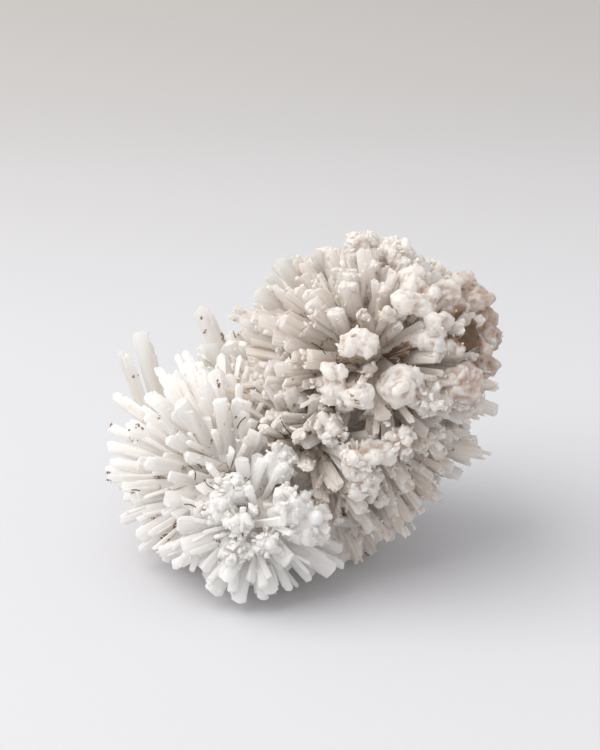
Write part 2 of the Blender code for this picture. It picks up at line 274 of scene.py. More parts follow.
# Crystal forms are modelled one unit wide and this many units long, then stretched to size.
FORM_LENGTH = 9.0
ROOT_WIDTH = 0.62  # width at the root over width at the tip
COLUMN_SPREAD = (0.86, 1.1)  # how far each corner stands out
RING_SPREAD = (0.96, 1.04)  # how much each ring round a form swells
RING_SHIFT = 0.03  # and how far it lies aside
TIP_DROP = 0.35  # the tip's slant crosses the middle this far below the full length
TIP_SLANT = (0.2, 0.75)  # slope of a tip along its width
CROSS_SLANT = 0.45  # steepest slope of a tip along its thickness
SHOULDER_PLACE = (0.15, 0.35)  # where the tip's second facet starts, from the middle,
SHOULDER_SLANT = (0.8, 1.4)  # and its slope
BROW_SHARE = 0.6  # share of the forms with a third facet
BROW_PLACE = 0.25  # and where that one starts
BROW_DROP = 0.1  # and how far below the tip, over the tip's slope
BROW_SLANT = (0.9, 1.5)
SHARP_FOLD = 0.3  # edges folded by more than this, in radians, are bevelled,
ROOT_RIM = 0.1  # but for those that lie lower than this, round the root

# Thinner crystals grown along a form's sides, over its own size.
PARTNER_WIDTH = (0.3, 0.72)
PARTNER_LENGTH = (0.8, 1.01)
PARTNER_STAND = (0.56, 0.68)  # how far its outer side stands from the form's middle
PARTNER_SWING = 0.9  # how far round from the form's narrow side it may sit, in radians
PARTNER_BEVEL = 1.4  # its bevel over the form's, before it is made thinner

# Small knobs on the tips, one unit in radius.
NUB_DENTS = 0.07
NUB_BODY = 0.75  # size of the first lobe
NUB_LOBE = (0.35, 0.6)  # and of the others,
NUB_REACH = 0.7  # that sit this far from its middle
NUB_STRETCH = ((0.8, 1.2), (0.8, 1.3))  # a lobe's width and length over its depth
NUB_WIDTH = (0.42, 0.66)  # radius of a knob over its blade's width
NUB_SINK = 0.6  # how far below the tip a knob's middle lies, over its radius
NUB_SIDE = (-0.5, 1.3)  # a knob grows where the blade points further right than a draw from this
NUB_CLEARANCE = 7 * MM  # no knob grows on a tip that is nearer to the floor than this

# Blades.
ROOT_START = 0.22  # a blade starts this share of its way from its spray's hub
ROOT_SCATTER = 3.6 * MM  # an ordinary one also this far off the straight line from the hub
THICKNESS = (0.36, 0.62)  # thickness over width, from thin to stout blades
TWIST = 0.35  # most that a blade that stands out is turned from square on, in radians
LOOSE_TWIST = 0.8  # and an ordinary blade
WIDTH_SPREAD = (0.35, 1.4)  # ordinary blades, over their spray's width
REACH_SPREAD = (0.7, 1.02, 0.96)  # ordinary blades, over the spray's reach: least, most, usual
DIRECTION_JITTER = 0.11  # how far an ordinary blade strays from its even place in the spray
FLOOR_CLEARANCE = 1.4 * MM  # tips stay at least this far above the floor
TIP_HANG = 0.6  # a tip's corners hang at most this far below its middle, over its width
SHORTEST_SHOWING = 4 * MM  # a blade that shows less than this beyond the core is left out
CROWD_ANGLE = math.radians(3.5)  # ordinary blades nearer than this to one that stands out
CROWD_SHARE = 0.88  # have this share of their reach
CROWDED_REACH = 0.81  # no ordinary blade ends within this share of another spray's own reach
END_ON = math.cos(math.radians(32))  # of the ordinary blades that point this straight at the viewer,
END_ON_LEFT_OUT = 0.4  # this share is left out
NEARLY_ALONG = 0.2  # below this, outward gives no clear side to face
GOLDEN_ANGLE = math.pi * (3 - math.sqrt(5))
BOX_MARGIN = 0.2 * MM  # tips stay this far inside the frame's box
CLEAR_START = 0.5  # a clear blade starts this share of its way from the spray's centre

# The sprays whose blades end in a few smaller ones and, on their right side, in small knobs.
KNOBBLY = ("upper_right", "right", "lower_right")
STEPPED_SHARE = 0.8  # share of their blades that end in smaller ones
STEPS_AT_END = 3
STEP_ASIDE = 0.42  # how far these lie from the middle, over the blade's width
STEP_PAST = (-1.6, 0.9)  # how far they end past the tip, in mm
STEP_WIDTH = (0.28, 0.55)  # over the blade's width
STEP_LENGTH = 7  # in mm
STEP_TWIST = 1.5  # most that one is turned, in radians

# Lumps: lobes one unit in radius with flat facets, grown into one skin.
FACET_DEPTH = (0.7, 0.88)  # how far from a lobe's middle a facet lies
LOBE_STRETCH = (0.8, 1.2)
LOBE_LOWEST = -0.3  # lobes that would lie further in than this are flipped outward
LOBE_REACH = 1.05  # how far out the lobes stand, over the lump's radius,
LOBE_SINK = 0.8  # less this share of their own size
NOISE_SHAPE = (0.7, 2.1, 3)  # fading, scale and number of the finer layers of a roughened surface
NOISE_SHIFT = (0, 50)  # how far its noise is shifted,
NOISE_WAY = (1, 0.37, -0.61)  # and which way
LUMP_BOSSES = (4.5, 1.1)  # width and depth of the bosses on a lump, in mm
LUMP_GRAIN = (1.5, 0.14)  # and of its fine grain
PIT_BREADTH = 1.6  # over the pit's radius
PIT_DEPTH = 1.2
PIT_DUST_AND_SHADE = 1.2  # how much a pit's dust and painted shade add to what is stored as hollow
HOLLOW_DEPTH = 1.6 * MM  # a point this far below its surroundings is a full hollow
HOLLOW_LEVEL = 0.3  # what is stored where the surface is even
HOLLOW_ROUNDS = 16  # rounds of smoothing that give the surroundings

# Tiny crystals: the crust on a druse, and the grains that glint on blades and lumps.
DRUSE_CRYSTALS = 30  # on each druse
DRUSE_WIDTH = (1.2, 2.8)  # in mm
DRUSE_LEAN = 0.6  # how strongly they lean outward from the cluster
DRUSE_ROOT = 0.4  # where they start and end, over the lump's radius
DRUSE_TIP = (0.95, 1.22)
SUGAR_GRAINS = 1500
SUGAR_GRAIN = (0.22, 0.5)  # radius in mm
SUGAR_LEAN = 0.7  # how far a grain strays from square on its ground
SUGAR_AIM = 12  # grains fall towards places this far round a spray's centre, in mm
SUGAR_CLEARANCE = 4  # none lies lower than this, over its radius

# Crumbs of clay.
CRUMB = (0.16, 0.46)  # radius in mm
CRUMB_DENTS = (0.7, 1.25)
CRUMB_STRETCH = ((0.8, 1.3), (1.0, 2.6), (0.3, 0.6))
CRUMB_RISE = 0.1  # how high a crumb's middle lies over what carries it, over its radius
CRUMB_CLEARANCE = 2  # none is carried lower than this, over its radius
PATCH_SCATTER = 0.25  # spread of a patch's crumbs over its breadth
LOOSE_CRUMBS = 300  # crumbs lodged in gaps on all sides
LOOSE_CRUMB_SIZE = 0.8
LOOSE_CRUMB_AIM = 4  # these fall towards places this far round a spray's centre, in mm
GAP_TRIES = 12  # places tried for a crumb, of which the deepest is taken
OUTSIDE = 0.2  # distance in metres from which grains and loose crumbs fall in

# Core and root.
CORE_SHARE = 0.97  # radius of a core's shape over the spray's core radius
CORE_BOSSES = (7, 2.2)  # width and depth of its bosses, in mm
CORE_GRAIN = (2.4, 0.8)

# Patterns in the minerals: their size, or for relief their depth.
GYPSUM_IOR = 1.52
MILKY_PATCH = 9 * MM
STAINED_REGION = 24 * MM
CLAY_PATCH = 3.2 * MM
VEIL_WIDTH = 0.9 * MM  # the milky veils inside the crystals
VEIL_LENGTH = 14 * MM
STRIATION_SQUEEZE = 0.04  # the lines' width over their length
LINE_DEPTH = 0.3 * MM
FROST = 1.3 * MM
FROST_DEPTH = 0.15 * MM
DUST_PATCH = 5 * MM
SHADED_SIDE = (42 * MM, 66 * MM)  # from here to here, to the right, the lumps are painted darker, as shade on the side away from the window
SUGAR_DEPTH = 0.2 * MM
EARTH_PATCH = 7 * MM
EARTH_GRAIN = 0.9 * MM
EARTH_DEPTH = 0.5 * MM
RUST_SPOT = 2.5 * MM
CLAY_GRIT = 0.35 * MM
GRIT_DEPTH = 0.1 * MM
FIBRE_STREAK = 1.2 * MM
DARK_FIBRE = "2E241B"
PALE_FIBRE = "6B5642"

# The stage: a sheet of paper that lies flat and curves up far behind, a window and the camera.
PAPER_HALF_WIDTH = 2.5
PAPER_FRONT = -1.5
PAPER_BEND = 0.6  # where the flat part ends
PAPER_RADIUS = 1.2
PAPER_CURVE = math.radians(80)
PAPER_STEPS = 24  # faces round the curve
PAPER_FIBRE = 2 * MM
FIBRE_SHADE = (0.985, 0.985, 0.985)
PAPER_SHADE_START = 1.1  # from here back the paper has its far colour, painted shade where less light reaches
ROOM_COLOUR = "F2F2F4"
WINDOW_COLOUR = "FFFDFA"
WINDOW_SIZE = 2.2
WINDOW_PLACE = Vector((-1.2, -0.25, 1.6))
WINDOW_AIM = Vector((0, 0, 0.04))
AIM = Vector((0, 48.1, 65.5)) * MM  # the drawn place that the camera looks at from straight in front
CAMERA_DISTANCE = 0.62
LENS = 85
SENSOR = 36
NEAREST_SEEN = 0.01


def from_hex(code):
    """Linear RGB of an sRGB hex colour."""
    channels = [int(code[i:i + 2], 16) / 255 for i in (0, 2, 4)]
    return tuple(c / 12.92 if c <= 0.04045 else ((c + 0.055) / 1.055) ** 2.4 for c in channels)


def length_property(name, description, default, least, most):
    """A length that is told in mm."""
    return bpy.props.FloatProperty(
        name=name, description=description, default=default * MM, min=least * MM, max=most * MM,
        unit="LENGTH",
    )


class SeleniteSizes(bpy.types.PropertyGroup):
    """Sizes of the cluster's fine parts."""

    density: bpy.props.FloatProperty(
        name="Blade density", description="Share of the places for ordinary blades that are tried",
        default=1.0, min=0.1, max=1.0, subtype="FACTOR",
    )
    striation: length_property(
        "Striation spacing", "Distance between the fine lines along a blade", 0.8, 0.1, 3
    )
    grain: length_property("Sugar grain", "Size of the sugary grains on the lumps", 0.7, 0.1, 3)
    skin: length_property("Lump detail", "Size of the faces of the lumps", 0.55, 0.3, 2)
    core_skin: length_property("Core detail", "Size of the faces of the core and root", 1.1, 0.5, 4)


def colour_property(name, description, code):
    return bpy.props.FloatVectorProperty(
        name=name, description=description, default=from_hex(code), size=3, subtype="COLOR",
        min=0, max=1,
    )


class SeleniteColours(bpy.types.PropertyGroup):
    """Colours of the cluster's minerals and of the stage."""

    snow: colour_property("Snow white", "Front blades, milky veils and tips at the left", "FCFCFB")
    milk: colour_property("Milk white", "Roots at the left and front, tips at the right", "FAF8F6")
    rose: colour_property("Rose", "Body of the left and upper right blades, knobs", "FBF8F4")
    # Smoke is a slightly greyer body for the right sprays: partly their own tone, partly painted shade
    # on the side away from the window.
    grey_and_shade: colour_property("Smoke", "Body of the right and lower right blades", "F8F5F1")
    sand: colour_property("Sand", "Roots of the blades at the right", "EFE7DE")
    # Blush and pit beige colour the slopes and hollows of the lumps by depth: partly dust, partly
    # painted shade.
    blush: colour_property("Blush", "Slopes between the bosses of the lumps", "DCCBBF")
    pit: colour_property("Pit beige", "Hollows of the rosy lumps", "B4957E")
    clay: colour_property("Clay", "Dry clay in the gaps", "8A7258")
    rust: colour_property("Rust", "Iron stain on the clay", "B08A5E")
    paper: colour_property("Paper", "Floor", "CCCCCF")
    # Far paper is painted shade: the backdrop is coloured darker far behind, where less window light
    # reaches.
    far_paper_shade: colour_property("Far paper", "Backdrop behind the cluster", "B0ADA9")


class SeleniteStage(bpy.types.PropertyGroup):
    """The light."""

    key: bpy.props.FloatProperty(
        name="Window light", description="Power of the large light at the upper left",
        default=41.0, min=0, max=500, unit="POWER",
    )
    fill: bpy.props.FloatProperty(
        name="Room light", description="Strength of the even light from the room",
        default=0.93, min=0, max=5,
    )


def front_direction(right, up, reach):
    """Vector in metres to a place told as it looks from the front; a minus reach lies behind."""
    depth = math.sqrt(max(reach * reach - right * right - up * up, 0.0))
    towards = math.copysign(depth, reach)
    return (RIGHT * right + UP * up + NEAR * towards) * MM


def spray_centre(name):
    return Vector(SPRAYS[name]["centre"]) * MM


def frame_along(axis, outward, roll):
    """Rotation whose Z runs along axis and whose Y, the thin way, faces outward."""
    z = axis.normalized()
    y = outward - z * outward.dot(z)
    if y.length < NEARLY_ALONG:
        y = UP - z * UP.dot(z)
    y.normalize()
    turn = Matrix((y.cross(z), y, z)).transposed()
    return turn @ Matrix.Rotation(roll, 3, "Z")


def random_direction(rng):
    while True:
        arrow = Vector([rng.uniform(-1, 1) for _ in range(3)])
        if SHORTEST_DRAW < arrow.length < 1:
            return arrow.normalized()


def as_mesh(bm, name):
    """A new mesh of the bmesh, which is freed."""
    mesh = bpy.data.meshes.new(name)
    bm.to_mesh(mesh)
    bm.free()
    return mesh


def new_object(name, data):
    """A new object in the scene."""
    made = bpy.data.objects.new(name, data)
    bpy.context.scene.collection.objects.link(made)
    return made


def append(target, source):
    """Copies the source bmesh into the target and frees the source."""
    mesh = as_mesh(source, "piece")
    target.from_mesh(mesh)
    bpy.data.meshes.remove(mesh)


def slanted_cut(bm, place, normal):
    """Cuts off what lies beyond the plane and closes the cut with one flat face."""
    whole = bm.verts[:] + bm.edges[:] + bm.faces[:]
    cut = bmesh.ops.bisect_plane(
        bm, geom=whole, plane_co=place, plane_no=normal.normalized(), dist=TOUCHING,
        clear_outer=True,
    )
    rim = [edge for edge in cut["geom_cut"] if isinstance(edge, bmesh.types.BMEdge)]
    if rim:
        bmesh.ops.edgeloop_fill(bm, edges=rim)


def new_prism(rng, sides, rings, bevel_width, segments):
    """One upright prism, one unit wide at its tip, narrower at its root, with a slanted tip.

    rings is how often its sides are divided along its length.
    """
    prism = bmesh.new()
    corner_radius = 0.5 / math.cos(math.pi / sides)
    bmesh.ops.create_cone(
        prism, cap_ends=True, segments=sides, radius1=corner_radius * ROOT_WIDTH,
        radius2=corner_radius, depth=FORM_LENGTH,
    )
    bmesh.ops.translate(prism, vec=(0, 0, FORM_LENGTH / 2), verts=prism.verts)
    bmesh.ops.rotate(prism, matrix=Matrix.Rotation(math.pi / sides, 3, "Z"), verts=prism.verts)
    long_edges = [
        e for e in prism.edges if abs(e.verts[0].co.z - e.verts[1].co.z) > FORM_LENGTH / 2
    ]
    if rings:
        bmesh.ops.subdivide_edges(prism, edges=long_edges, cuts=rings)

    # Each corner column stands a little in or out, and each ring is shifted and swells a little.
    column = [rng.uniform(*COLUMN_SPREAD) for _ in range(sides)]
    ring_of = {}
    for vert in prism.verts:
        level = round(vert.co.z, 2)
        if level not in ring_of:
            aside = [rng.uniform(-RING_SHIFT, RING_SHIFT) for _ in range(2)]
            ring_of[level] = (rng.uniform(*RING_SPREAD), Vector((*aside, 0)))
        swell, shift = ring_of[level]
        corner = int(math.atan2(vert.co.y, vert.co.x) / math.tau * sides) % sides
        vert.co.x *= swell * column[corner]
        vert.co.y *= swell * column[corner]
        vert.co += shift

    side = rng.choice((-1, 1))
    slope = side * rng.uniform(*TIP_SLANT)
    cross = rng.uniform(-CROSS_SLANT, CROSS_SLANT)
    top = FORM_LENGTH - TIP_DROP
    slanted_cut(prism, Vector((0, 0, top)), Vector((slope, cross, 1)))
    shoulder = Vector((-side * rng.uniform(*SHOULDER_PLACE), 0, top))
    slanted_cut(prism, shoulder, Vector((-side * rng.uniform(*SHOULDER_SLANT), -cross, 1)))
    if rng.random() < BROW_SHARE:
        across = rng.choice((-1, 1))
        brow = Vector((0, across * BROW_PLACE, top - slope * BROW_DROP))
        slanted_cut(prism, brow, Vector((0, across * rng.uniform(*BROW_SLANT), 1)))

    if not bevel_width:
        return prism
    sharp = [
        edge for edge in prism.edges
        if edge.calc_face_angle(0) > SHARP_FOLD
        and max(vert.co.z for vert in edge.verts) > ROOT_RIM
    ]
    bmesh.ops.bevel(
        prism, geom=sharp, offset=bevel_width, offset_type="OFFSET", segments=segments,
        profile=0.5, affect="EDGES", clamp_overlap=True, material=-1,
    )
    return prism


def new_form(rng, sides, rings=0, bevel_width=0, segments=1, partners=0):
    """A crystal form: one prism with thinner partners grown along its sides, as a mesh."""
    form = bmesh.new()
    append(form, new_prism(rng, sides, rings, bevel_width, segments))
    for _ in range(partners):
        partner = new_prism(rng, sides, max(1, rings - 2), bevel_width * PARTNER_BEVEL, 1)
        wide = rng.uniform(*PARTNER_WIDTH)
        long = rng.uniform(*PARTNER_LENGTH)
        stand = rng.uniform(*PARTNER_STAND) - wide / 2
        around = rng.choice((0, math.pi)) + rng.uniform(-PARTNER_SWING, PARTNER_SWING)
        bmesh.ops.scale(partner, vec=(wide, wide, long), verts=partner.verts)
        offset = (stand * math.cos(around), stand * math.sin(around), 0)
        bmesh.ops.translate(partner, vec=offset, verts=partner.verts)
        append(form, partner)
    return as_mesh(form, "form")


def new_nub(rng, lobes):
    """A knobbly growth one unit in radius, as a mesh."""
    nub = bmesh.new()
    for index in range(lobes):
        lobe = bmesh.new()
        bmesh.ops.create_icosphere(lobe, subdivisions=2, radius=1)
        for vert in lobe.verts:
            vert.co *= 1 + rng.uniform(-NUB_DENTS, NUB_DENTS)
        size = NUB_BODY if index == 0 else rng.uniform(*NUB_LOBE)
        wide, long = (size * rng.uniform(*spread) for spread in NUB_STRETCH)
        bmesh.ops.scale(lobe, vec=(wide, size, long), verts=lobe.verts)
        if index:
            bmesh.ops.translate(lobe, vec=random_direction(rng) * NUB_REACH, verts=lobe.verts)
        append(nub, lobe)
    return as_mesh(nub, "nub")


def place_form(target, form, matrix, scale, tint, rng, nub=False):
    """Adds a stretched copy of a form, with what its material reads.

    along runs from 0 at the root to 1 at the tip, tint is one number for the whole crystal, and
    grain is the place inside the unturned crystal, in metres, so that its lines run along it.
    """
    crystal = bmesh.new()
    along = crystal.verts.layers.float.new("along")
    tone = crystal.verts.layers.float.new("tint")
    grain = crystal.verts.layers.float_vector.new("grain")
    crystal.from_mesh(form)
    start = Vector([rng.uniform(0, 1) for _ in range(3)])
    for vert in crystal.verts:
        vert[along] = 1.0 if nub else vert.co.z / FORM_LENGTH
        vert[tone] = tint
        vert.co = Vector((vert.co.x * scale[0], vert.co.y * scale[1], vert.co.z * scale[2]))
        vert[grain] = vert.co + start
    bmesh.ops.transform(crystal, matrix=matrix, verts=crystal.verts)
    append(target, crystal)


def add_blade(target, form, root, tip, width, rng, outward=NEAR, twist=TWIST):
    """Adds one blade from root to tip, its broad side facing outward but for a small twist."""
    axis = tip - root
    thickness = width * rng.uniform(*THICKNESS)
    turn = frame_along(axis, outward, rng.uniform(-twist, twist))
    matrix = Matrix.Translation(root) @ turn.to_4x4()
    scale = (width, thickness, axis.length / FORM_LENGTH)
    place_form(target, form, matrix, scale, rng.random(), rng)


def inside_box(tip):
    """True if a drawn place is inside the frame's box once it is moved over the origin."""
    low, high = CAD_BOX
    place = tip + ORIGIN_SHIFT
    return all(low[i] + BOX_MARGIN < place[i] < high[i] - BOX_MARGIN for i in range(3))


def new_piece(name, bm, material, smooth_angle=None):
    """Makes the piece in its place over the origin, riding on the frame.

    Edges folded by more than the smooth angle, in degrees, stay sharp. Without one, all faces are flat.
    """
    bmesh.ops.translate(bm, vec=ORIGIN_SHIFT, verts=bm.verts)
    bm.normal_update()
    mesh = as_mesh(bm, name)
    piece = new_object(name, mesh)
    mesh.materials.append(material)
    if smooth_angle is not None:
        mesh.shade_smooth()
        mesh.set_sharp_from_angle(angle=math.radians(smooth_angle))
    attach(piece, BODY)
    return piece


def gypsum_piece(name, bm, material, smooth_angle):
    """Makes a piece that shows in place of the frame's plain solid."""
    piece = new_piece(name, bm, material, smooth_angle)
    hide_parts(NODE)


def set_inputs(tree, node, inputs):
    """Gives a node's inputs what they are told: a value, a colour or another node's output."""
    for name, value in inputs.items():
        socket = node.inputs[name]
        if isinstance(value, bpy.types.NodeSocket):
            tree.links.new(value, socket)
        else:
            socket.default_value = (*value, 1.0) if socket.type == "RGBA" else value


def add_node(tree, kind, inputs, output=0, **settings):
    """Adds a shader node with its settings and inputs, and gives the output that is asked for."""
    node = tree.nodes.new("ShaderNode" + kind)
    for field, value in settings.items():
        setattr(node, field, value)
    set_inputs(tree, node, inputs)
    return node.outputs[output]


def new_material(name):
    """A material with its tree and its shader."""
    material = bpy.data.materials.new(name)
    material.use_nodes = True
    tree = material.node_tree
    return material, tree, tree.nodes["Principled BSDF"]


def laid_over(tree, ground, layer, where, start, full, most=1.0, ease="SMOOTHSTEP"):
    """The ground's colour under a layer: none of it where the number is start, most of it at full."""
    share = add_node(tree, "MapRange", {
        "Value": where, "From Min": start, "From Max": full, "To Max": most,
    }, interpolation_type=ease)
    return add_node(tree, "Mix", {0: share, 6: ground, 7: layer}, 2, data_type="RGBA")


def glow_through(tree, shader, colour, normal, share):
    """Lets a share of the light come through the crystal, spread out, as milky gypsum does."""
    through = add_node(tree, "BsdfTranslucent", {"Color": colour, "Normal": normal})
    mixed = add_node(tree, "MixShader", {0: share, 1: shader.outputs[0], 2: through})
    set_inputs(tree, tree.nodes["Material Output"], {"Surface": mixed})


def crystal_colour(tree, tip, body, root, stain):
    """Colour along a crystal from its root to its tip; stain is how much clay clings low down."""
    colours = bpy.context.scene.selenite_colours
    along = add_node(tree, "Attribute", {}, "Fac", attribute_name="along")
    tint = add_node(tree, "Attribute", {}, "Fac", attribute_name="tint")
    place = add_node(tree, "TexCoord", {}, "Object")

    # Root to tip, a little uneven from place to place.
    cloud = add_node(tree, "TexNoise", {
        "Vector": place, "Scale": 1 / MILKY_PATCH, "Detail": 3.0, "Roughness": 0.6,
    })
    uneven = add_node(tree, "Math", {0: cloud, 1: 0.5, 2: along}, operation="MULTIPLY_ADD")
    from_root = laid_over(tree, root, body, uneven, 0.45, 0.95)
    to_tip = laid_over(tree, from_root, tip, uneven, 0.85, 1.25)

    # Some crystals are a little warmer and darker than their neighbours.
    tinted = laid_over(tree, to_tip, root, tint, 0.35, 1.0, most=0.3, ease="LINEAR")

    # Wide stained patches lie across neighbouring crystals.
    region = add_node(tree, "TexNoise", {
        "Vector": place, "Scale": 1 / STAINED_REGION, "Detail": 3.0, "Roughness": 0.6,
    })
    stained = laid_over(tree, tinted, root, region, 0.46, 0.64, most=0.8)

    # Duller lines and milky veils run along each crystal.
    grain = add_node(tree, "Attribute", {}, "Vector", attribute_name="grain")
    drawn_out = add_node(tree, "Mapping", {
        "Vector": grain, "Scale": (1 / VEIL_WIDTH, 1 / VEIL_WIDTH, 1 / VEIL_LENGTH),
    })
    veils = add_node(tree, "TexNoise", {
        "Vector": drawn_out, "Scale": 1.0, "Detail": 4.0, "Roughness": 0.7,
    })
    lined = laid_over(tree, stained, root, veils, 0.52, 0.36, most=0.7)
    veiled = laid_over(tree, lined, colours.snow, veils, 0.5, 0.64, most=0.8)

    # Clay in patches on the lower part.
    patches = add_node(tree, "TexNoise", {
        "Vector": place, "Scale": 1 / CLAY_PATCH, "Detail": 5.0, "Roughness": 0.7,
    })
    low_down = add_node(tree, "MapRange", {
        "Value": along, "From Min": 0.55, "From Max": 0.95, "To Min": 0.14 * stain, "To Max": -0.08,
    })
    dirty = add_node(tree, "Math", {0: patches, 1: low_down}, operation="ADD")
    return laid_over(tree, veiled, colours.clay, dirty, 0.66, 0.8, most=0.75)


def striated_surface(tree, shader, smooth, dull, relief):
    """Gives the shader fine lines along the crystal and a faint frost, and returns their normal.

    smooth and dull are the roughness at the gloss's two ends, and relief is how deep the lines and
    the frost are.
    """
    striation = bpy.context.scene.selenite_sizes.striation
    grain = add_node(tree, "Attribute", {}, "Vector", attribute_name="grain")
    place = add_node(tree, "TexCoord", {}, "Object")

    # The grain is squeezed along the crystal's length before the noise reads it.
    squeeze = add_node(tree, "Mapping", {
        "Vector": grain, "Scale": (1 / striation, 1 / striation, STRIATION_SQUEEZE / striation),
    })
    lines = add_node(tree, "TexNoise", {"Vector": squeeze, "Scale": 1.0, "Detail": 2.0})
    lined = add_node(tree, "Bump", {
        "Height": lines, "Strength": 0.9 * relief, "Distance": LINE_DEPTH,
    })
    frost = add_node(tree, "TexNoise", {
        "Vector": place, "Scale": 1 / FROST, "Detail": 4.0, "Roughness": 0.65,
    })
    frosted = add_node(tree, "Bump", {
        "Height": frost, "Strength": 0.35 * relief, "Distance": FROST_DEPTH, "Normal": lined,
    })
    gloss = add_node(tree, "MapRange", {
        "Value": frost, "From Min": 0.35, "From Max": 0.65, "To Min": smooth, "To Max": dull,
    })
    set_inputs(tree, shader, {"Normal": frosted, "Roughness": gloss, "IOR": GYPSUM_IOR})
    return frosted


def gypsum_blades(name, tip, body, root, stain):
    """Selenite, a clear to milky gypsum that grew from water as blades.

    The eye sees pale tips that glow, a slightly warmer body and root, fine lines and milky veils along
    each blade, and some blades whiter than others. stain is how much clay clings to the lower part.
    """
    material, tree, shader = new_material(name)
    coloured = crystal_colour(tree, tip, body, root, stain)
    set_inputs(tree, shader, {"Base Color": coloured})
    normal = striated_surface(tree, shader, smooth=0.16, dull=0.42, relief=1.0)
    glow_through(tree, shader, coloured, normal, share=0.52)
    return material


def clear_selenite():
    """Clear selenite with some milk in it: the eye sees what lies behind it, blurred and bent."""
    colours = bpy.context.scene.selenite_colours
    material, tree, shader = new_material("clear_selenite")
    coloured = crystal_colour(tree, colours.snow, colours.rose, colours.milk, stain=0.3)
    set_inputs(tree, shader, {"Base Color": coloured, "Transmission Weight": 0.5})
    normal = striated_surface(tree, shader, smooth=0.06, dull=0.25, relief=0.5)
    glow_through(tree, shader, coloured, normal, share=0.5)
    absorption = add_node(tree, "VolumeAbsorption", {"Color": colours.rose, "Density": 5.0})
    set_inputs(tree, tree.nodes["Material Output"], {"Volume": absorption})
    return material


def gypsum_lumps(name, peak, slope, hollow):
    """Popcorn selenite: gypsum that grew last, as rounded crusts of grains too small to see.

    The eye sees sugar-white bosses with a soft glow, beige dust in the hollows between them, and clay
    in the deepest, all partly painted shade that darkens with depth. The lumps at the far right are
    painted darker all over, as shade on the side away from the window.
    """
    clay = bpy.context.scene.selenite_colours.clay
    material, tree, shader = new_material(name)
    depth = add_node(tree, "Attribute", {}, "Fac", attribute_name="hollow")
    place = add_node(tree, "TexCoord", {}, "Object")
    cloud = add_node(tree, "TexNoise", {
        "Vector": place, "Scale": 1 / DUST_PATCH, "Detail": 5.0, "Roughness": 0.65,
    })
    # Painted shade on the side away from the window: the lumps get darker towards the right.
    side = add_node(tree, "SeparateXYZ", {"Vector": place}, "X")
    side_shade = add_node(tree, "MapRange", {
        "Value": side, "From Min": SHADED_SIDE[0], "From Max": SHADED_SIDE[1], "To Max": 0.4,
    })
    depth_and_side_shade = add_node(tree, "Math", {0: depth, 1: side_shade}, operation="ADD")
    # Hollows, pits and the right side are laid over with blush, pit beige and clay: partly real dust
    # and clay, partly painted shade.
    dust_and_shade = add_node(tree, "Math", {0: cloud, 1: 0.7, 2: depth_and_side_shade}, operation="MULTIPLY_ADD")
    sloped = laid_over(tree, peak, slope, dust_and_shade, 0.45, 0.95)
    dust_and_shade_laid = laid_over(tree, sloped, hollow, dust_and_shade, 0.9, 1.5)
    clay_and_shade = laid_over(tree, dust_and_shade_laid, clay, dust_and_shade, 1.5, 2.4)

    # Sugary grains.
    grains = add_node(tree, "TexVoronoi", {
        "Vector": place, "Scale": 1 / bpy.context.scene.selenite_sizes.grain,
    }, "Distance")
    sugar = add_node(tree, "Bump", {
        "Height": grains, "Strength": 0.5, "Distance": SUGAR_DEPTH,
    }, invert=True)
    gloss = add_node(tree, "MapRange", {
        "Value": cloud, "From Min": 0.3, "From Max": 0.7, "To Min": 0.28, "To Max": 0.5,
    })
    set_inputs(tree, shader, {
        "Base Color": clay_and_shade, "Normal": sugar, "Roughness": gloss, "IOR": GYPSUM_IOR,
    })
    glow_through(tree, shader, clay_and_shade, sugar, share=0.45)
    return material


def earthy_gypsum():
    """Massive gypsum under the blades, with clay that was washed in.

    The eye sees a dull white to beige ground between the blades, brown where clay has lodged.
    """
    colours = bpy.context.scene.selenite_colours
    material, tree, shader = new_material("earthy_gypsum")
    place = add_node(tree, "TexCoord", {}, "Object")
    cloud = add_node(tree, "TexNoise", {
        "Vector": place, "Scale": 1 / EARTH_PATCH, "Detail": 6.0, "Roughness": 0.7,
    })
    pale = laid_over(tree, colours.milk, colours.sand, cloud, 0.38, 0.58)
    coloured = laid_over(tree, pale, colours.clay, cloud, 0.58, 0.76, most=0.8)
    crumbs = add_node(tree, "TexNoise", {
        "Vector": place, "Scale": 1 / EARTH_GRAIN, "Detail": 6.0, "Roughness": 0.75,
    })
    rough = add_node(tree, "Bump", {"Height": crumbs, "Strength": 0.8, "Distance": EARTH_DEPTH})
    set_inputs(tree, shader, {
        "Base Color": coloured, "Normal": rough, "Roughness": 0.75, "IOR": GYPSUM_IOR,
    })
    return material


def dry_clay():
    """Clay and rust that dried in the gaps: dull brown crumbs with ochre spots."""
    colours = bpy.context.scene.selenite_colours
    material, tree, shader = new_material("dry_clay")
    place = add_node(tree, "TexCoord", {}, "Object")
    spots = add_node(tree, "TexNoise", {"Vector": place, "Scale": 1 / RUST_SPOT, "Detail": 3.0})
    coloured = laid_over(tree, colours.clay, colours.rust, spots, 0.55, 0.7)
    grit = add_node(tree, "TexNoise", {"Vector": place, "Scale": 1 / CLAY_GRIT, "Detail": 3.0})
    gritty = add_node(tree, "Bump", {"Height": grit, "Strength": 0.7, "Distance": GRIT_DEPTH})
    set_inputs(tree, shader, {"Base Color": coloured, "Normal": gritty, "Roughness": 0.9})
    return material


def dry_fibre():
    """Rootlets caught between the crystals: dark brown, dull, paler in places."""
    material, tree, shader = new_material("dry_fibre")
    place = add_node(tree, "TexCoord", {}, "Object")
    streaks = add_node(tree, "TexNoise", {"Vector": place, "Scale": 1 / FIBRE_STREAK, "Detail": 2.0})
    coloured = add_node(tree, "Mix", {
        0: streaks, 6: from_hex(DARK_FIBRE), 7: from_hex(PALE_FIBRE),
    }, 2, data_type="RGBA")
    set_inputs(tree, shader, {"Base Color": coloured, "Roughness": 0.7})
    return material


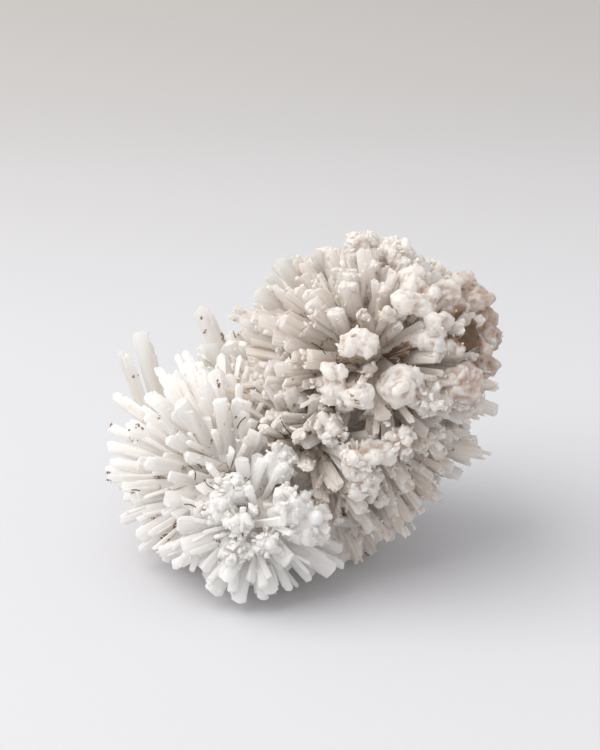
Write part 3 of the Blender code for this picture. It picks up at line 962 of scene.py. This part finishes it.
def clear_of_floor(centre, direction, reach, width, core):
    """Reach shortened so that the tip stays above the rest plane, or None if too little shows."""
    lowest = FLOOR_CLEARANCE + width * TIP_HANG
    if centre.z + direction.z * reach < lowest:
        reach = (lowest - centre.z) / direction.z
    return reach if reach > core + SHORTEST_SHOWING else None


def clear_of_sprays(name, tip):
    """True unless the tip lies deep inside another spray."""
    return all(
        (tip - spray_centre(other)).length > CROWDED_REACH * spray["reach"] * MM
        for other, spray in SPRAYS.items()
        if other != name
    )


def new_crystals():
    """An empty bmesh with the layers that the crystals' materials read."""
    bm = bmesh.new()
    bm.verts.layers.float.new("along")
    bm.verts.layers.float.new("tint")
    bm.verts.layers.float_vector.new("grain")
    return bm


def stepped_end(bm, small_forms, tip, direction, width, rng):
    """Adds a few smaller crystals along a blade, that end a little before or past its tip."""
    for _ in range(STEPS_AT_END):
        aside = random_direction(rng) * width * STEP_ASIDE
        end = tip + aside + direction * rng.uniform(*STEP_PAST) * MM
        if inside_box(end) and end.z > FLOOR_CLEARANCE + width / 2:
            size = width * rng.uniform(*STEP_WIDTH)
            start = end - direction * STEP_LENGTH * MM
            add_blade(bm, rng.choice(small_forms), start, end, size, rng, direction, STEP_TWIST)


def grow_spray(name, forms, hero_forms, small_forms, nubs, density, rng):
    """One spray's blades: those that stand out, and the ordinary ones on all sides."""
    spray = SPRAYS[name]
    centre = spray_centre(name)
    core = spray["core"] * MM
    hub = centre + NEAR * spray["hub"] * MM
    bm = new_crystals()

    taken = []
    for right, up, reach, width in HERO_BLADES[name]:
        arm = front_direction(right, up, reach)
        taken.append(arm.normalized())
        form = rng.choice(hero_forms)
        add_blade(bm, form, hub.lerp(centre + arm, ROOT_START), centre + arm, width * MM, rng)
        if name in KNOBBLY and rng.random() < STEPPED_SHARE:
            stepped_end(bm, small_forms, centre + arm, arm.normalized(), width * MM, rng)

    gaps = [
        (front_direction(right, up, reach), math.radians(angle))
        for spray_name, right, up, reach, angle in DEEP_GAPS if spray_name == name
    ]
    count = int(spray["blades"] * density)
    for index in range(count):
        height = 1 - (2 * index + 1) / count
        around = GOLDEN_ANGLE * index
        ring = math.sqrt(1 - height * height)
        direction = Vector((ring * math.cos(around), ring * math.sin(around), height))
        direction += random_direction(rng) * DIRECTION_JITTER
        direction.normalize()
        spread = rng.triangular(*REACH_SPREAD)
        width = spray["width"] * rng.uniform(*WIDTH_SPREAD) * MM
        form = rng.choice(forms)
        scatter = random_direction(rng) * ROOT_SCATTER
        if direction.dot(NEAR) > END_ON and rng.random() < END_ON_LEFT_OUT:
            continue
        if any(direction.angle(gap) < half_angle for gap, half_angle in gaps):
            continue
        if any(direction.angle(other) < CROWD_ANGLE for other in taken):
            spread *= CROWD_SHARE
        reach = clear_of_floor(centre, direction, spread * spray["reach"] * MM, width, core)
        if reach is None:
            continue
        tip = centre + direction * reach
        if not clear_of_sprays(name, tip) or not inside_box(tip):
            continue
        root = hub.lerp(tip, ROOT_START) + scatter
        add_blade(bm, form, root, tip, width, rng, direction, LOOSE_TWIST)
        if name not in KNOBBLY:
            continue
        if rng.random() < STEPPED_SHARE:
            stepped_end(bm, small_forms, tip, direction, width, rng)
        if tip.z > NUB_CLEARANCE and direction.x > rng.uniform(*NUB_SIDE):
            size = width * rng.uniform(*NUB_WIDTH)
            turn = frame_along(tip - root, direction, rng.uniform(0, math.pi)).to_4x4()
            matrix = Matrix.Translation(tip - direction * size * NUB_SINK) @ turn
            place_form(bm, rng.choice(nubs), matrix, [size] * 3, rng.random(), rng, nub=True)
    return bm


class SELENITE_OT_sprays(bpy.types.Operator):
    """Grows the six sprays of blades"""

    bl_idname = "selenite.sprays"
    bl_label = "Sprays of blades"

    def execute(self, context):
        sizes = context.scene.selenite_sizes
        colours = context.scene.selenite_colours
        rng = random.Random(SEED)
        forms = [
            new_form(rng, sides=6, rings=1, bevel_width=0.05, partners=rng.choice((0, 1, 2)))
            for _ in range(ORDINARY_FORMS)
        ]
        hero_forms = [
            new_form(rng, sides=8, rings=5, bevel_width=0.045, partners=rng.choice((2, 3, 4)))
            for _ in range(HERO_FORMS)
        ]
        small_forms = [new_form(rng, sides=5) for _ in range(SMALL_FORMS)]
        nubs = [new_nub(rng, lobes=4) for _ in range(NUBS)]
        snow = gypsum_blades("snowy_selenite", colours.snow, colours.snow, colours.milk, stain=0.4)
        milk = gypsum_blades("milky_selenite", colours.snow, colours.rose, colours.milk, stain=0.7)
        rose = gypsum_blades("rosy_selenite", colours.milk, colours.rose, colours.sand, stain=1.0)
        # The smoky blades are partly painted shade for the sprays on the side away from the window.
        grey_and_shade = gypsum_blades("smoky_and_shaded_selenite", colours.milk, colours.grey_and_shade, colours.sand, stain=1.0)
        material_of = {
            "upper_right": rose, "left": milk, "front": snow, "right": grey_and_shade,
            "lower_right": grey_and_shade, "back": milk,
        }
        for name in SPRAYS:
            bm = grow_spray(name, forms, hero_forms, small_forms, nubs, sizes.density, rng)
            gypsum_piece("blades_" + name, bm, material_of[name], smooth_angle=25)
        return {"FINISHED"}


class SELENITE_OT_clay_and_shade_blades(bpy.types.Operator):
    """Grows the dark blades deep between the lumps: clay in their lines, and painted shade of the deep
    gap
    """

    bl_idname = "selenite.stained_blades"
    bl_label = "Stained blades"

    def execute(self, context):
        colours = context.scene.selenite_colours
        rng = random.Random(SEED + 5)
        bm = new_crystals()
        for name, blades in CLAY_AND_SHADE_BLADES.items():
            centre = spray_centre(name)
            hub = centre + NEAR * SPRAYS[name]["hub"] * MM
            for right, up, reach, width in blades:
                tip = centre + front_direction(right, up, reach)
                form = new_form(rng, sides=8, rings=4, bevel_width=0.05, partners=3)
                add_blade(bm, form, hub.lerp(tip, ROOT_START), tip, width * MM, rng)
        # Pit beige and clay here stand for clay and for painted shade deep in the gap.
        stained = gypsum_blades(
            "clay_and_shade_selenite", colours.pit, colours.clay, colours.clay, stain=1.6
        )
        gypsum_piece("blades_stained_and_shaded", bm, stained, smooth_angle=25)
        return {"FINISHED"}


class SELENITE_OT_clear_crystals(bpy.types.Operator):
    """Grows the clear crystals: those that stand alone at the back left and those at the edges"""

    bl_idname = "selenite.clear_crystals"
    bl_label = "Clear crystals"

    def execute(self, context):
        rng = random.Random(SEED + 1)
        bm = new_crystals()
        for start, end, width in TALL_BLADES:
            form = new_form(rng, sides=8, rings=6, bevel_width=0.05, segments=2, partners=2)
            add_blade(bm, form, Vector(start) * MM, Vector(end) * MM, width * MM, rng)
        for name, blades in CLEAR_BLADES.items():
            centre = spray_centre(name)
            for right, up, reach, width in blades:
                arm = front_direction(right, up, reach)
                form = new_form(rng, sides=8, rings=4, bevel_width=0.05, segments=2, partners=1)
                add_blade(bm, form, centre + arm * CLEAR_START, centre + arm, width * MM, rng)
        gypsum_piece("clear_crystals", bm, clear_selenite(), smooth_angle=25)
        return {"FINISHED"}


def remeshed(bm, voxel):
    """The shapes in the bmesh grown into one skin of even faces."""
    mesh = as_mesh(bm, "shapes")
    holder = new_object("shapes", mesh)
    remesh = holder.modifiers.new("skin", "REMESH")
    remesh.mode = "VOXEL"
    remesh.voxel_size = voxel
    bpy.context.view_layer.update()
    grown = holder.evaluated_get(bpy.context.evaluated_depsgraph_get())
    skin = bmesh.new()
    skin.from_mesh(grown.to_mesh())
    bpy.data.objects.remove(holder)
    bpy.data.meshes.remove(mesh)
    return skin


def smooth(bm, rounds, factor):
    """Moves each point towards the middle of its neighbours, some rounds over."""
    for _ in range(rounds):
        bmesh.ops.smooth_vert(
            bm, verts=bm.verts, factor=factor, use_axis_x=True, use_axis_y=True, use_axis_z=True
        )


def mark_hollows(bm, depth):
    """Stores on each point how far it lies below its surroundings, from 0 on bosses to 1 in pits."""
    softened = bm.copy()
    smooth(softened, HOLLOW_ROUNDS, factor=1.0)
    softened.verts.ensure_lookup_table()
    bm.normal_update()
    hollow = bm.verts.layers.float.new("hollow")
    for vert in bm.verts:
        below = (softened.verts[vert.index].co - vert.co).dot(vert.normal)
        vert[hollow] = min(max(HOLLOW_LEVEL + below / depth, 0.0), 1.0)
    softened.free()


def faceted_lobe(rng, detail, facets):
    """A rounded lobe one unit in radius with a few flat facets."""
    lobe = bmesh.new()
    bmesh.ops.create_icosphere(lobe, subdivisions=detail, radius=1)
    for _ in range(facets):
        out = random_direction(rng)
        slanted_cut(lobe, out * rng.uniform(*FACET_DEPTH), out)
    stretch = [rng.uniform(*LOBE_STRETCH) for _ in range(3)]
    bmesh.ops.scale(lobe, vec=stretch, verts=lobe.verts)
    return lobe


def lump_shapes(bm, centre, axis, radius, stretch, style, rng):
    """Adds the overlapping lobes of one lump."""
    turn = frame_along(axis, NEAR, 0).to_4x4()
    place = Matrix.Translation(centre) @ turn @ Matrix.Diagonal((1, 1, stretch, 1))
    body_size, count, low, high = LOBES[style]
    body = faceted_lobe(rng, detail=3, facets=9)
    bmesh.ops.scale(body, vec=[radius * body_size] * 3, verts=body.verts)
    bmesh.ops.transform(body, matrix=place, verts=body.verts)
    append(bm, body)
    for _ in range(count):
        lobe = faceted_lobe(rng, detail=2, facets=4)
        out = random_direction(rng)
        out.z = abs(out.z) if out.z < LOBE_LOWEST else out.z
        size = radius * rng.uniform(low, high)
        bmesh.ops.scale(lobe, vec=[size] * 3, verts=lobe.verts)
        stand = radius * LOBE_REACH - size * LOBE_SINK
        bmesh.ops.translate(lobe, vec=out * stand, verts=lobe.verts)
        bmesh.ops.transform(lobe, matrix=place, verts=lobe.verts)
        append(bm, lobe)


def roughen(bm, relief, seed):
    """Pushes each point in or out along its normal by a noise; relief is its width and depth in mm."""
    size, depth = (measure * MM for measure in relief)
    shift = Vector([seed * way for way in NOISE_WAY])
    bm.normal_update()
    for vert in bm.verts:
        vert.co += vert.normal * noise.fractal(vert.co / size + shift, *NOISE_SHAPE) * depth


def sink_pits(skin, name):
    """Presses the spray's pits into its lumps, and stores the dust that lies in each."""
    pitted = skin.verts.layers.float.new("pitted")
    for spray, right, up, reach, radius, pit_dust_and_shade in PITS:
        if spray != name:
            continue
        arm = front_direction(right, up, reach)
        pit = spray_centre(name) + arm
        for vert in skin.verts:
            share = (vert.co - pit).length / (radius * PIT_BREADTH * MM)
            if share < 1:
                vert[pitted] = pit_dust_and_shade * (1 - share * share)
                vert.co += -arm.normalized() * radius * MM * PIT_DEPTH * (1 - share * share) ** 2


class SELENITE_OT_lumps(bpy.types.Operator):
    """Grows the lumps that crown the upper right, right and front sprays"""

    bl_idname = "selenite.lumps"
    bl_label = "Lumps"

    def execute(self, context):
        sizes = context.scene.selenite_sizes
        colours = context.scene.selenite_colours
        rng = random.Random(SEED + 2)
        rosy = gypsum_lumps("rosy_popcorn_gypsum", colours.rose, colours.blush, colours.pit)
        snowy = gypsum_lumps("snowy_popcorn_gypsum", colours.snow, colours.rose, colours.sand)
        for name, lumps in LUMPS.items():
            centre = spray_centre(name)
            shapes = bmesh.new()
            for right, up, reach, radius, stretch, style in lumps:
                arm = front_direction(right, up, reach)
                lump_shapes(shapes, centre + arm, arm, radius * MM, stretch, style, rng)
            skin = remeshed(shapes, sizes.skin)
            smooth(skin, rounds=3, factor=0.5)
            sink_pits(skin, name)
            roughen(skin, LUMP_BOSSES, rng.uniform(*NOISE_SHIFT))
            roughen(skin, LUMP_GRAIN, rng.uniform(*NOISE_SHIFT))
            mark_hollows(skin, HOLLOW_DEPTH)
            hollow = skin.verts.layers.float["hollow"]
            pitted = skin.verts.layers.float["pitted"]
            # Each pit's dust and painted shade darken the colour of the hollows.
            for vert in skin.verts:
                vert[hollow] += PIT_DUST_AND_SHADE * vert[pitted]
            crust = snowy if name == "front" else rosy
            gypsum_piece("lumps_" + name, skin, crust, smooth_angle=80)
        return {"FINISHED"}


class SELENITE_OT_druse(bpy.types.Operator):
    """Grows the tiny crystals that make a crust on some of the lumps"""

    bl_idname = "selenite.druse"
    bl_label = "Druse"

    def execute(self, context):
        colours = context.scene.selenite_colours
        rng = random.Random(SEED + 3)
        forms = [new_form(rng, sides=5, rings=1, bevel_width=0.07) for _ in range(DRUSE_FORMS)]
        bm = new_crystals()
        for name, lumps in LUMPS.items():
            centre = spray_centre(name)
            for right, up, reach, radius, _, style in lumps:
                if style != "druse":
                    continue
                arm = front_direction(right, up, reach)
                for _ in range(DRUSE_CRYSTALS):
                    out = (random_direction(rng) + arm.normalized() * DRUSE_LEAN).normalized()
                    long = radius * MM * rng.uniform(*DRUSE_TIP)
                    root = centre + arm + out * radius * MM * DRUSE_ROOT
                    tip = centre + arm + out * long
                    if inside_box(tip):
                        width = rng.uniform(*DRUSE_WIDTH) * MM
                        form = rng.choice(forms)
                        add_blade(bm, form, root, tip, width, rng, out.orthogonal(), math.pi)
        crust = gypsum_blades("sugar_selenite", colours.snow, colours.rose, colours.milk, stain=0.2)
        gypsum_piece("druse_crystals", bm, crust, smooth_angle=25)
        return {"FINISHED"}


def grown_trees(context):
    """Search trees of all that has grown so far."""
    depsgraph = context.evaluated_depsgraph_get()
    grown = [made for made in context.scene.objects if made.name.startswith(GROWN)]
    return [BVHTree.FromObject(made, depsgraph) for made in grown]


def first_hit(trees, start, direction):
    """Nearest place and normal that a ray meets, or None."""
    hits = [tree.ray_cast(start, direction) for tree in trees]
    hits = [hit for hit in hits if hit[0] is not None]
    if not hits:
        return None
    return min(hits, key=lambda hit: hit[3])[:2]


def seen_hit(trees, right, up):
    """What the camera sees at a place told as it looks from the front, in mm."""
    eye = AIM + NEAR * CAMERA_DISTANCE
    target = RIGHT * right * MM + UP * up * MM + NEAR * AIM.dot(NEAR)
    return first_hit(trees, eye + ORIGIN_SHIFT, (target - eye).normalized())


def falling_hit(trees, name, out, scatter, rng):
    """What something meets that falls from outside towards a place round a spray's centre."""
    middle = spray_centre(name) + ORIGIN_SHIFT
    start = middle + out * OUTSIDE
    aim = middle + random_direction(rng) * scatter * MM - start
    return first_hit(trees, start, aim.normalized())


def lodge_crumb(bm, tries, out, rng, size=1):
    """Lays a crumb on the deepest of the places that were met, seen from outside, if any was."""
    met = [hit for hit in tries if hit]
    if met:
        place, normal = min(met, key=lambda hit: hit[0].dot(out))
        add_crumb(bm, place, normal, rng.uniform(*CRUMB) * MM * size, rng)


def add_crumb(bm, place, normal, radius, rng):
    """One flat crumb of clay, half sunk in what carries it, unless that is at the floor."""
    if place.z < CRUMB_CLEARANCE * radius:
        return
    crumb = bmesh.new()
    bmesh.ops.create_icosphere(crumb, subdivisions=1, radius=radius)
    for vert in crumb.verts:
        vert.co *= rng.uniform(*CRUMB_DENTS)
    flat = [rng.uniform(*spread) for spread in CRUMB_STRETCH]
    bmesh.ops.scale(crumb, vec=flat, verts=crumb.verts)
    turn = frame_along(normal, RIGHT, rng.uniform(0, math.tau)).to_4x4()
    place = place + normal * radius * CRUMB_RISE - ORIGIN_SHIFT
    bmesh.ops.transform(crumb, matrix=Matrix.Translation(place) @ turn, verts=crumb.verts)
    append(bm, crumb)


class SELENITE_OT_clay(bpy.types.Operator):
    """Lodges crumbs of clay in the gaps between the crystals"""

    bl_idname = "selenite.clay"
    bl_label = "Clay"

    def execute(self, context):
        rng = random.Random(SEED + 4)
        trees = grown_trees(context)
        bm = bmesh.new()
        for right, up, breadth, crumbs in CLAY_PATCHES:
            for _ in range(crumbs):
                tries = []
                for _ in range(GAP_TRIES):
                    across, along = (rng.gauss(0, breadth * PATCH_SCATTER) for _ in range(2))
                    tries.append(seen_hit(trees, right + across, up + along))
                lodge_crumb(bm, tries, NEAR, rng)
        names = sorted(SPRAYS)
        for _ in range(LOOSE_CRUMBS):
            name = rng.choice(names)
            out = random_direction(rng)
            tries = [falling_hit(trees, name, out, LOOSE_CRUMB_AIM, rng) for _ in range(GAP_TRIES)]
            lodge_crumb(bm, tries, out, rng, LOOSE_CRUMB_SIZE)
        clay = new_piece("clay_crumbs", bm, dry_clay())
        return {"FINISHED"}


class SELENITE_OT_sugar(bpy.types.Operator):
    """Scatters tiny crystals that glint over the blades and lumps"""

    bl_idname = "selenite.sugar"
    bl_label = "Sugar grains"

    def execute(self, context):
        colours = context.scene.selenite_colours
        rng = random.Random(SEED + 6)
        trees = grown_trees(context)
        forms = [new_form(rng, sides=4) for _ in range(SUGAR_FORMS)]
        bm = new_crystals()
        names = ("upper_right", "upper_right", "right", "lower_right", "front", "left", "back")
        for _ in range(SUGAR_GRAINS):
            name = rng.choice(names)
            hit = falling_hit(trees, name, random_direction(rng), SUGAR_AIM, rng)
            radius = rng.uniform(*SUGAR_GRAIN) * MM
            if hit and hit[0].z > SUGAR_CLEARANCE * radius:
                place = hit[0] - ORIGIN_SHIFT
                out = (hit[1] + random_direction(rng) * SUGAR_LEAN).normalized()
                root, tip = place - out * radius, place + out * radius * 2
                form = rng.choice(forms)
                add_blade(bm, form, root, tip, radius * 2, rng, out.orthogonal(), math.pi)
        grains = gypsum_blades("sugar_grains", colours.snow, colours.snow, colours.milk, stain=0.0)
        gypsum_piece("sugar_grains", bm, grains, smooth_angle=25)
        return {"FINISHED"}


class SELENITE_OT_fibres(bpy.types.Operator):
    """Lays the plant fibres on the crystals that caught them"""

    bl_idname = "selenite.fibres"
    bl_label = "Fibres"

    def execute(self, context):
        trees = grown_trees(context)
        curve = bpy.data.curves.new("plant_fibres", "CURVE")
        curve.dimensions = "3D"
        curve.bevel_depth = FIBRE_RADIUS
        curve.bevel_resolution = 1
        curve.use_fill_caps = True
        for right, up, end_right, end_up, bow in FIBRES:
            way = Vector((end_right - right, end_up - up))
            across = Vector((-way.y, way.x)).normalized()
            places = []
            for step in range(FIBRE_STEPS + 1):
                share = step / FIBRE_STEPS
                flat = Vector((right, up)) + way * share + across * bow * math.sin(math.pi * share)
                hit = seen_hit(trees, flat.x, flat.y)
                if hit:
                    places.append(hit[0] + NEAR * FIBRE_RADIUS - ORIGIN_SHIFT)
            line = curve.splines.new("POLY")
            line.points.add(len(places) - 1)
            for point, place in zip(line.points, places):
                point.co = (*place, 1)
        holder = new_object("fibre_lines", curve)
        context.view_layer.update()
        bm = bmesh.new()
        bm.from_mesh(holder.evaluated_get(context.evaluated_depsgraph_get()).to_mesh())
        bpy.data.objects.remove(holder)
        bmesh.ops.remove_doubles(bm, verts=bm.verts, dist=TOUCHING)
        bmesh.ops.recalc_face_normals(bm, faces=bm.faces)
        fibres = new_piece("plant_fibres", bm, dry_fibre(), smooth_angle=60)
        return {"FINISHED"}


class SELENITE_OT_core(bpy.types.Operator):
    """Grows the massive gypsum under the blades and the root that the cluster rests on"""

    bl_idname = "selenite.core"
    bl_label = "Core and root"

    def execute(self, context):
        sizes = context.scene.selenite_sizes
        shapes = bmesh.new()
        solids = [(Vector(c) * MM, Vector(h) * MM) for c, h in ROOTS]
        for name, spray in SPRAYS.items():
            half = spray["core"] * CORE_SHARE * MM
            solids.append((spray_centre(name), Vector((half, half, half))))
        for centre, half_size in solids:
            solid = bmesh.new()
            bmesh.ops.create_icosphere(solid, subdivisions=4, radius=1)
            bmesh.ops.scale(solid, vec=half_size, verts=solid.verts)
            bmesh.ops.translate(solid, vec=centre, verts=solid.verts)
            append(shapes, solid)
        skin = remeshed(shapes, sizes.core_skin)
        roughen(skin, CORE_BOSSES, seed=3.0)
        roughen(skin, CORE_GRAIN, seed=9.0)
        slanted_cut(skin, Vector(), Vector((0, 0, -1)))
        gypsum_piece("core_and_root", skin, earthy_gypsum(), smooth_angle=60)
        return {"FINISHED"}


def place_facing(seer, place, direction):
    """Puts a light or a camera in its place, looking along the direction."""
    seer.location = place
    seer.rotation_mode = "QUATERNION"
    seer.rotation_quaternion = direction.to_track_quat("-Z", "Y")


class SELENITE_OT_stage(bpy.types.Operator):
    """Sets the floor, the light and the camera"""

    bl_idname = "selenite.stage"
    bl_label = "Stage"

    def execute(self, context):
        stage = context.scene.selenite_stage
        colours = context.scene.selenite_colours
        # Matt paper: the eye sees an even pale ground, a little mottled, and painted darker far behind,
        # as shade where less light reaches.
        material, tree, shader = new_material("matt_paper")
        place = add_node(tree, "TexCoord", {}, "Object")
        fibre = add_node(tree, "TexNoise", {"Vector": place, "Scale": 1 / PAPER_FIBRE, "Detail": 2.0})
        far = add_node(tree, "SeparateXYZ", {"Vector": place}, "Y")
        shade_graded = laid_over(tree, colours.paper, colours.far_paper_shade, far, 0.0, PAPER_SHADE_START)
        shade = add_node(tree, "Mix", {
            0: fibre, 6: shade_graded, 7: FIBRE_SHADE,
        }, 2, data_type="RGBA", blend_type="MULTIPLY")
        set_inputs(tree, shader, {"Base Color": shade, "Roughness": 0.9})

        bm = bmesh.new()
        ends = [bm.verts.new((x, PAPER_FRONT, 0)) for x in (-PAPER_HALF_WIDTH, PAPER_HALF_WIDTH)]
        edge = bm.edges.new(ends)
        flat = bmesh.ops.extrude_edge_only(bm, edges=[edge])["geom"]
        moved = [g for g in flat if isinstance(g, bmesh.types.BMVert)]
        bmesh.ops.translate(bm, vec=(0, PAPER_BEND - PAPER_FRONT, 0), verts=moved)
        back = [g for g in flat if isinstance(g, bmesh.types.BMEdge)]
        bmesh.ops.spin(
            bm, geom=back[:1] + moved, cent=(0, PAPER_BEND, PAPER_RADIUS), axis=(1, 0, 0),
            angle=PAPER_CURVE, steps=PAPER_STEPS,
        )
        bmesh.ops.recalc_face_normals(bm, faces=bm.faces)
        mesh = as_mesh(bm, "paper_sweep")
        mesh.shade_smooth()
        mesh.materials.append(material)
        floor = new_object("paper_sweep", mesh)

        world = bpy.data.worlds.new("room")
        world.use_nodes = True
        set_inputs(world.node_tree, world.node_tree.nodes["Background"], {
            "Color": from_hex(ROOM_COLOUR), "Strength": stage.fill,
        })
        context.scene.world = world

        window = bpy.data.lights.new("window", "AREA")
        window.shape = "RECTANGLE"
        window.size = window.size_y = WINDOW_SIZE
        window.energy = stage.key
        window.color = from_hex(WINDOW_COLOUR)
        place_facing(new_object("window", window), WINDOW_PLACE, WINDOW_AIM - WINDOW_PLACE)

        camera = bpy.data.cameras.new("camera")
        camera.lens = LENS
        camera.sensor_width = SENSOR
        camera.clip_start = NEAREST_SEEN
        viewer = new_object("camera", camera)
        place_facing(viewer, AIM + ORIGIN_SHIFT + NEAR * CAMERA_DISTANCE, -NEAR)
        context.scene.camera = viewer
        context.scene.view_settings.view_transform = "Standard"

        # Light wanders far between white crystals.
        cycles = context.scene.cycles
        cycles.max_bounces = 24
        cycles.diffuse_bounces = 16
        cycles.glossy_bounces = 6
        cycles.transmission_bounces = 20
        return {"FINISHED"}


class SELENITE_PT_panel(bpy.types.Panel):
    """Lists the cluster's sizes, colours and steps"""

    bl_idname = "SELENITE_PT_panel"
    bl_label = "Selenite cluster"
    bl_space_type = "VIEW_3D"
    bl_region_type = "UI"
    bl_category = "Selenite"

    def draw(self, context):
        layout = self.layout
        for group in ("selenite_sizes", "selenite_colours", "selenite_stage"):
            box = layout.box()
            properties = getattr(context.scene, group)
            for name in properties.__annotations__:
                box.prop(properties, name)
        for step in STEPS:
            layout.operator(step.bl_idname)


GROUPS = {
    "selenite_sizes": SeleniteSizes,
    "selenite_colours": SeleniteColours,
    "selenite_stage": SeleniteStage,
}
STEPS = (
    SELENITE_OT_core,
    SELENITE_OT_sprays,
    SELENITE_OT_clay_and_shade_blades,
    SELENITE_OT_clear_crystals,
    SELENITE_OT_lumps,
    SELENITE_OT_druse,
    SELENITE_OT_sugar,
    SELENITE_OT_clay,
    SELENITE_OT_fibres,
    SELENITE_OT_stage,
)


def register():
    for name, group in GROUPS.items():
        bpy.utils.register_class(group)
        setattr(bpy.types.Scene, name, bpy.props.PointerProperty(type=group))
    for step in STEPS:
        bpy.utils.register_class(step)
    bpy.utils.register_class(SELENITE_PT_panel)


def unregister():
    bpy.utils.unregister_class(SELENITE_PT_panel)
    for step in reversed(STEPS):
        bpy.utils.unregister_class(step)
    for name, group in reversed(GROUPS.items()):
        delattr(bpy.types.Scene, name)
        bpy.utils.unregister_class(group)


def main():
    register()
    bpy.ops.selenite.core()
    bpy.ops.selenite.sprays()
    bpy.ops.selenite.stained_blades()
    bpy.ops.selenite.clear_crystals()
    bpy.ops.selenite.lumps()
    bpy.ops.selenite.druse()
    bpy.ops.selenite.sugar()
    bpy.ops.selenite.clay()
    bpy.ops.selenite.fibres()
    bpy.ops.selenite.stage()


if __name__ == "__main__":
    main()
